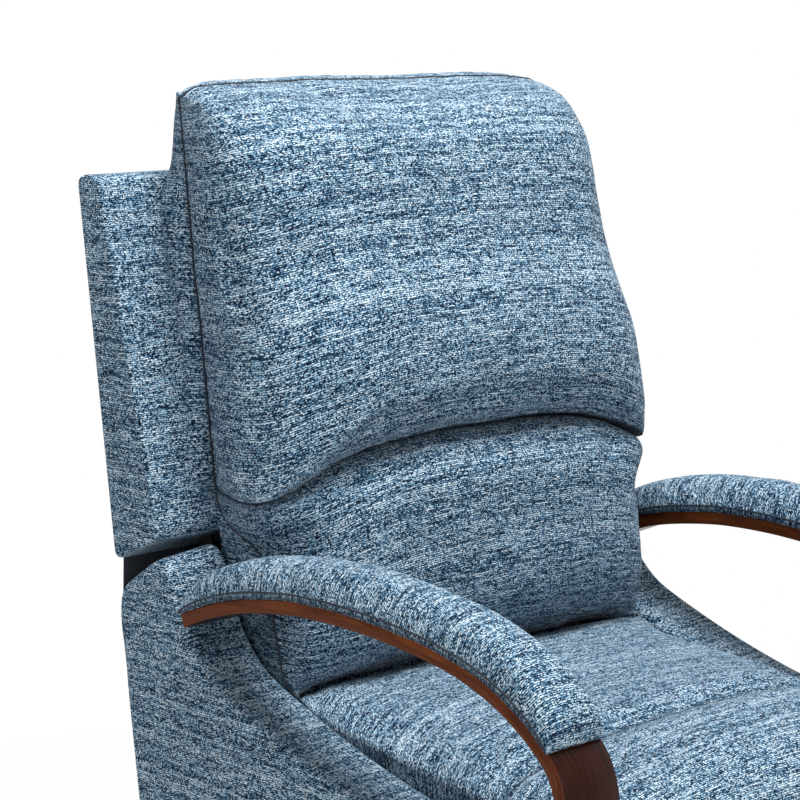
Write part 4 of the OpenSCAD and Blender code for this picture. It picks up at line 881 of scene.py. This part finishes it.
# %% Weave map of a board
FLAT_FACE = 0.6   # a face whose normal points across the chair by more than this is flat
def weave_on(piece, line, turned=False):
    """Rim: across the chair and along the line. Flat faces: off the line and along it, or if turned Y and Z."""
    line = np.array([place(0, y, z)[1:] for y, z in line])
    run = run_along(line)
    mesh = piece.data
    layer = mesh.uv_layers.get("weave") or mesh.uv_layers.new(name="weave")
    at = np.array([v.co for v in mesh.vertices])
    a, b = line[:-1], line[1:]
    ab = b - a
    t = ((at[:, None, 1:] - a[None]) * ab[None]).sum(2) / np.maximum((ab * ab).sum(1), 1e-12)[None]
    t = np.clip(t, 0, 1)
    gap = np.linalg.norm(at[:, None, 1:] - (a[None] + t[:, :, None] * ab[None]), axis=2)
    best, away = gap.argmin(axis=1), gap.min(axis=1)
    run = run[best] + t[np.arange(len(at)), best] * np.linalg.norm(ab, axis=1)[best]
    for face in mesh.polygons:
        for loop in face.loop_indices:
            n = mesh.loops[loop].vertex_index
            if abs(face.normal.x) <= FLAT_FACE:
                layer.data[loop].uv = (at[n, 0], run[n])
            else:
                layer.data[loop].uv = (at[n, 1], at[n, 2]) if turned else (away[n], run[n])
print("weave map for boards ready")

# %% [markdown]
# ## Side panels
# Each side is a padded board that rises at the rear in a horn, which the back moves between. The
# upper part of its outline came from the photograph, as shares of its depth and height, and the rest
# is guessed. The right one has a slot for the lever's shaft, cut with a tool shape as a router would.

# %% Outline of a side and the slot for the lever
edge_line = curve([(-a * SIDE_DEPTH, b * SIDE_TOP) for a, b in (
    (0.999, 0.565), (0.992, 0.605), (0.970, 0.628), (0.930, 0.637), (0.800, 0.645), (0.670, 0.661), (0.567, 0.683),
    (0.480, 0.707), (0.396, 0.735), (0.297, 0.774), (0.232, 0.806), (0.190, 0.846), (0.163, 0.888), (0.150, 0.925),
    (0.139, 0.957), (0.124, 0.984), (0.104, 0.999), (0.078, 0.992), (0.048, 0.972), (0.024, 0.955), (0.002, 0.938),
    (-0.010, 0.917), (-0.0145, 0.890), (-0.013, 0.855), (-0.003, 0.791), (0.004, 0.721), (0.027, 0.537),
    (0.060, 0.250))], 6)
foot, toe = (-SIDE_DEPTH * 0.078, SIDE_LOW), (-SIDE_DEPTH, SIDE_LOW)
side_line = [tuple(p) for p in edge_line]
side_line += corner_round(edge_line[-1], foot, toe, 20) + corner_round(foot, toe, edge_line[0], 20)
BEZEL_LIP = 0.009   # metres by which the bezel's rim hides the edge of the slot
def lever_slot():
    """A bar with the slot's section, which is as wide and high as the bezel less its rim."""
    low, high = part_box("lever_bezel")
    middle, size = (low + high) / 2, high - low
    bpy.ops.object.select_all(action="DESELECT")
    bpy.ops.mesh.primitive_cylinder_add(vertices=48, radius=0.5, depth=0.2, location=middle,
                                        rotation=(0, math.pi / 2, 0))
    tool = bpy.context.object
    settle(tool)
    for v in tool.data.vertices:
        v.co.y = middle.y + (v.co.y - middle.y) * (size.y - 2 * BEZEL_LIP)
        v.co.z = middle.z + (v.co.z - middle.z) * (size.z - 2 * BEZEL_LIP)
    return tool
print("side outline", len(side_line), "points")

# %% [markdown]
# ## Padding of the sides
# The horn is padded higher on its inner side, where an elbow rests, and falls to its outer edge. That
# could be sculpted; a lift by place does the same to both sides alike.

# %% Side panels
HORN_Y, HORN_HALF, HORN_FOOT, HORN_RISE = -48, 46, 530, 0.009   # the rise in metres, the rest in millimetres
for name, sign in (("side_panel_left", 1), ("side_panel_right", -1)):
    panel = board(name + "_cover", side_line, sign * GAP_HALF, sign * SIDE_OUT, 9.5, 4)
    if sign < 0:
        cut(panel, lever_slot())
    for v in panel.data.vertices:
        x, y, z = (v.co - place(0, 0, 0)) * 1000
        horn = max(0, 1 - ((y - HORN_Y) / HORN_HALF) ** 2) * max(0, min(1, (z - HORN_FOOT) / 30))
        v.co.z += HORN_RISE * horn * (SIDE_OUT - abs(x)) / (SIDE_OUT - GAP_HALF)
    weave_on(panel, side_line, turned=True)
    smooth(panel, 40)
    dress(panel, cloth, "chassis", "fabric_blue", name)
    print(name, len(panel.data.polygons), "faces")

# %% [markdown]
# ## Bent arms
# An arm is a strip of veneers glued in a mould, so its grain and its layers follow the bend. It could
# be a curve with a rectangular section; the outline is drawn here with both its faces, so that the
# edges can be eased by 1.5 mm, which gives the thin bright line that lacquer shows on an edge. The
# strip's two sides get the finish of cut layers.

# %% Arms of bent veneer
ARM_TOP, ARM_FOOT, ARM_THICK, ARM_IN, ARM_OUT = 576, 84, 15, 287, 357
arm_shares = ((0.176, 0.919), (0.240, 0.948), (0.317, 0.974), (0.411, 0.992), (0.486, 0.999), (0.584, 0.999),
              (0.679, 0.991), (0.748, 0.981), (0.807, 0.967), (0.873, 0.940), (0.920, 0.911), (0.957, 0.880),
              (0.981, 0.851), (0.993, 0.818), (0.9995, 0.774), (1.0004, 0.720))
arm_curve = curve([(-a * SIDE_DEPTH, b * ARM_TOP) for a, b in arm_shares]
                  + [(-SIDE_DEPTH - 0.3, ARM_TOP * 0.6), (-SIDE_DEPTH - 0.3, ARM_FOOT)], 9)
def outward(line, i):
    """The direction out of the bend at that point of the line."""
    t = line[min(i + 1, len(line) - 1)] - line[max(i - 1, 0)]
    t = t / np.linalg.norm(t)
    return np.array((t[1], -t[0]))
arm_outer = np.array([p + ARM_THICK * outward(arm_curve, i) for i, p in enumerate(arm_curve)])
for name, sign in (("arm_wood_left", 1), ("arm_wood_right", -1)):
    arm = board(name + "_bend", np.vstack([arm_curve, arm_outer[::-1]]), sign * ARM_IN, sign * ARM_OUT, 1.5, 2)
    weave_on(arm, arm_curve)
    smooth(arm, 30)
    dress(arm, walnut, "chassis", "wood_walnut", name)
    arm.data.materials.append(walnut_edge)
    for face in arm.data.polygons:
        face.material_index = 1 if abs(face.normal.x) > 0.8 else 0
print("arm length", round(float(run_along(arm_curve)[-1])), "mm")

# %% [markdown]
# ## Arm pads
# A strip of foam is wrapped over each arm and sewn along its lower edges. Its section is a flat crown
# with full shoulders, and its ends turn down to the wood. The weft runs across the arm. A stretched
# ball would have pointed ends; a case that follows the arm's bend keeps its section to the end.

# %% Arm pads
PAD_END, PAD_HIGH, PAD_HALF = 102, 35, 38   # the pad's last point on the arm's line; height and half width
PAD_FOOT = ARM_THICK + 0.3
pad_line = arm_curve[:PAD_END + 1]
pad_run = run_along(pad_line)
pad_out = np.array([outward(arm_curve, i) for i in range(PAD_END + 1)])
def pad_spot(sign):
    def spot(u, v, s):
        t = near_ends(v, 0.5)
        q, o = [np.array([np.interp(t * pad_run[-1], pad_run, line[:, k]) for k in (0, 1)])
                for line in (pad_line, pad_out)]
        o /= np.linalg.norm(o)
        h = PAD_HIGH * max(0.2, max(0, 1 - abs(2 * t - 1) ** 9) ** 0.5)
        x = -math.cos(math.pi * u)
        top = PAD_FOOT + h * math.sin(math.pi * u) ** 0.62 if 0 < u < 1 else PAD_FOOT
        d = lerp(top, PAD_FOOT, s)
        wide = PAD_HALF * (1 if s < 1 else 0.985)
        across = (ARM_IN + ARM_OUT) / 2 + wide * (1 if x > 0 else -1) * abs(x) ** 0.7
        return np.array((sign * across, *(q + d * o)))
    return spot
for name, sign in (("arm_pad_left", 1), ("arm_pad_right", -1)):
    pad, depth, column, row, edge = case(name + "_cover", 36, 130, 1, pad_spot(sign))
    last = int(column.max())
    # painted shade along the sewn edges
    paint_seam_shade(pad, ones((depth < SHOW) & ((column == 0) | (column == last))) * 0.8)
    held = ones(depth > HIDDEN) + ones((column <= 1) | (column >= last - 1) | (row == 0) | (row == row.max()))
    print(name, "moved", swell(pad, held, pressure=3.0, cap=0.004, grow=0.006))
    finer(pad)
    rumple(pad, 0.0010, 0.05, 0.0004, 5.0 + sign)
    dress(pad, cloth, "chassis", "fabric_blue", name)
    for edge_name, k in (("inner", 1), ("outer", last - 1)):
        seam_line(f"{name}_seam_{edge_name}", pad, (depth < SHOW) & (column == k), row, "chassis", 0.0011)

# %% [markdown]
# ## Back frame
# The upholstered frame behind the pillows is a wooden surround with thin padding, thick at its foot
# and slim at its top, with a window for the springs. Four bars could be joined at the corners, but the
# cloth goes round in one piece, so the window is cut out of one board, as the frame maker leaves it
# open, and a stretched cover closes it at the back.

# %% Back frame
FRAME_HALF, WINDOW_HALF, WINDOW_LOW, WINDOW_TOP = 350, 262, 682, 944
back_profile = [(-67, 615), (32, FRAME_TOP), (72, FRAME_TOP), (15, 578)]
back_line = []
for i in range(4):
    back_line += corner_round(back_profile[i - 1], back_profile[i], back_profile[(i + 1) % 4], 14)
surround = board("back_frame_cover", back_line, -FRAME_HALF, FRAME_HALF, 6, 3)
bpy.ops.object.select_all(action="DESELECT")
bpy.ops.mesh.primitive_cube_add(size=1, location=(0, 0, 0))
tool = bpy.context.object
for v in tool.data.vertices:
    v.co = place(math.copysign(WINDOW_HALF, v.co.x), math.copysign(300, v.co.y),
                 WINDOW_TOP if v.co.z > 0 else WINDOW_LOW)
bpy.ops.object.mode_set(mode="EDIT")
bpy.ops.mesh.select_all(action="SELECT")
bpy.ops.mesh.bevel(offset=0.012, segments=4, affect="EDGES")
bpy.ops.object.mode_set(mode="OBJECT")
cut(surround, tool)
weave_on(surround, back_line, turned=True)
smooth(surround, 40)
dress(surround, cloth, "back", "fabric_blue", "back_frame")
print("back frame", len(surround.data.polygons), "faces")

# %% [markdown]
# ## Stretched covers
# The window at the back is closed by one cloth, stapled round its edge and drawn in a little in the
# middle. It is a thin sheet: a grid with a soft hollow, thickened to a cloth's thickness. A cloth
# simulation could draw it in, but so shallow a hollow is a simple formula.

# %% Rear cover
def thin(name, nu, nv, spot, thick):
    """A sheet of cloth; spot(u, v) gives each point's place in millimetres, thick is in metres."""
    piece = cloth_grid(name, nu, nv)
    at = [place(*spot(v.co.x, v.co.y)) for v in piece.data.vertices]
    coords = piece.data.uv_layers.new(name="weave").data
    for loop in piece.data.loops:
        coords[loop.index].uv = at[loop.vertex_index].xz
    for v, p in zip(piece.data.vertices, at):
        v.co = p
    modifier = piece.modifiers.new("thickness", "SOLIDIFY")
    modifier.thickness, modifier.offset = thick, 0
    alone(piece)
    bpy.ops.object.modifier_apply(modifier="thickness")
    round_shaded(piece)
    return piece
def cover_spot(u, v):
    x, z = lerp(1 - WINDOW_HALF, WINDOW_HALF - 1, u), lerp(WINDOW_LOW + 1, WINDOW_TOP - 1, v)
    hollow = (1 - (2 * u - 1) ** 4) * (1 - (2 * v - 1) ** 4)
    return x, line_y((18, 590), (72, FRAME_TOP), z) - 1.2 - 1.6 * hollow, z
rear = thin("rear_cover_cloth", 64, 36, cover_spot, 0.0012)
dress(rear, cloth, "back", "fabric_blue", "back_rear_cover")
print("rear cover", len(rear.data.polygons), "faces")

# %% [markdown]
# ## Elastic strip and gussets
# Under the frame hangs a strip of elastic knit that closes the slit to the seat, and a small gusset
# each side closes the corner between that strip and the side panel. The elastic gathers in small
# waves at its lower edge, which a sine along the strip gives.

# %% Strip and gussets
SKIRT_LOW, SKIRT_TOP = 456, 594
def gathers(u, v, waves):
    """Small waves across the strip, 0.9 mm high at its lower edge and none at its upper one."""
    return 0.9 * math.sin(u * waves) * (1 - v)
def skirt_spot(u, v):
    z = lerp(SKIRT_LOW, SKIRT_TOP, v)
    return lerp(-262, 262, u), line_y((-14, SKIRT_LOW), (9, SKIRT_TOP), z) - 1.2 + gathers(u, v, 140), z
skirt = thin("elastic_skirt", 220, 12, skirt_spot, 0.0010)
dress(skirt, stretch, "back", "fabric_dark", "back_skirt")
for name, sign in (("elastic_gusset_left", 1), ("elastic_gusset_right", -1)):
    def gusset_spot(u, v):
        return sign * lerp(256, 338, u), lerp(16, 13, v) + gathers(u, v, 30), lerp(530, 584, v)
    gusset = thin(name, 40, 12, gusset_spot, 0.0010)
    dress(gusset, stretch, "back", "fabric_dark")
print("elastic strip", len(skirt.data.polygons), "faces")

# %% [markdown]
# ## Rear apron
# A padded panel closes the chair's back below the moving back. It is a plain board with soft edges,
# so its outline has only four corners, and the bevel does the rest.

# %% Rear apron
APRON_LOW, APRON_TOP, APRON_THICK = 100, 430, 18
def apron_y(z):
    return line_y((0, 0.74 * SIDE_TOP), foot, z) - 8
apron_line = [(apron_y(APRON_LOW) - APRON_THICK, APRON_LOW), (apron_y(APRON_TOP) - APRON_THICK, APRON_TOP),
              (apron_y(APRON_TOP), APRON_TOP), (apron_y(APRON_LOW), APRON_LOW)]
apron = board("rear_apron_cover", apron_line, -GAP_HALF, GAP_HALF, 4, 3)
weave_on(apron, apron_line)
smooth(apron, 40)
dress(apron, cloth, "chassis", "fabric_blue", "rear_apron")
print("rear apron", APRON_TOP - APRON_LOW, "mm high")

# %% [markdown]
# ## Footrest pad
# The footrest is a foam pad on plywood, crowned in both directions, which hangs in front of the seat
# when it is folded away. It is a case like the cushions, because a bevelled box would have no crown.

# %% Footrest pad
FOOT_W, FOOT_HIGH, FOOT_LOW, FOOT_THICK, BOARD_FACE = 524.0, 345.0, 90.0, 56, 628.0
def foot_spot(u, v, s):
    u, v = near_ends(u, 0.6), near_ends(v, 0.6)
    rise = FOOT_THICK * (0.42 + 0.58 * bulge(u, 3.4) * bulge(v, 3))
    x, z = (FOOT_W / 2 + 4) * (2 * u - 1), lerp(FOOT_LOW - 4, FOOT_HIGH, v)
    return np.array((x, -BOARD_FACE - rise * (1 - s), z))
foot_pad, depth, column, row, edge = case("footrest_pad_cover", 64, 40, 3, foot_spot)
seams = ones((depth < SHOW) & (edge == 0))
# painted shade along the seams all round
paint_seam_shade(foot_pad, seams * 0.7)
print("footrest pad moved", swell(foot_pad, ones(depth > HIDDEN) + seams * 0.9, cap=0.008))
finer(foot_pad)
rumple(foot_pad, 0.0012, 0.08, 0.0008, 7.0)
dress(foot_pad, cloth, "footrest", "fabric_blue", "footrest_pad")
print("footrest pad", len(foot_pad.data.polygons), "faces")

# %% [markdown]
# ## Lever
# The lever that opens the footrest is a flattened wooden grip. It could be turned as a solid, but it
# is as flat as a board: its outline is smooth, and a generous bevel takes its edges off for the hand.

# %% Lever grip
SHAFT_Y, SHAFT_Z, GRIP_LONG, GRIP_HIGH = -395, 300.7, 165, 34
grip = curve([(SHAFT_Y - a * GRIP_LONG, SHAFT_Z + b * GRIP_HIGH) for a, b in (
    (-0.06, 0.42), (-0.12, 0), (-0.06, -0.42), (0.15, -0.36), (0.4, -0.3), (0.65, -0.44), (0.85, -0.5),
    (0.97, -0.36), (1, 0), (0.97, 0.36), (0.85, 0.5), (0.65, 0.44), (0.4, 0.3), (0.15, 0.36), (-0.06, 0.42))], 6)
lever = board("lever_grip", grip[:-1], -380, -362, 4.5, 4)
weave_on(lever, [(-340, 300), (-600, 300)])
smooth(lever, 50)
dress(lever, walnut, "lever", "wood_walnut", "lever_handle")
print("lever grip", GRIP_LONG, "mm from its shaft to its end")

# %% [markdown]
# ## Rocker springs
# The four coils join the base to the rocking body, and on the chair they bend when it rocks. They keep the
# shape of their solid part: a copy of its mesh takes its place, and the solid part is hidden.

# %% Rocker springs
solid = frame["nodes"]["rocker_springs"]
coils = bpy.data.objects.new("rocker_spring_coils", solid.data.copy())
coils.data.transform(solid.matrix_world)
scene.collection.objects.link(coils)
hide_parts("rocker_springs")
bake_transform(coils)
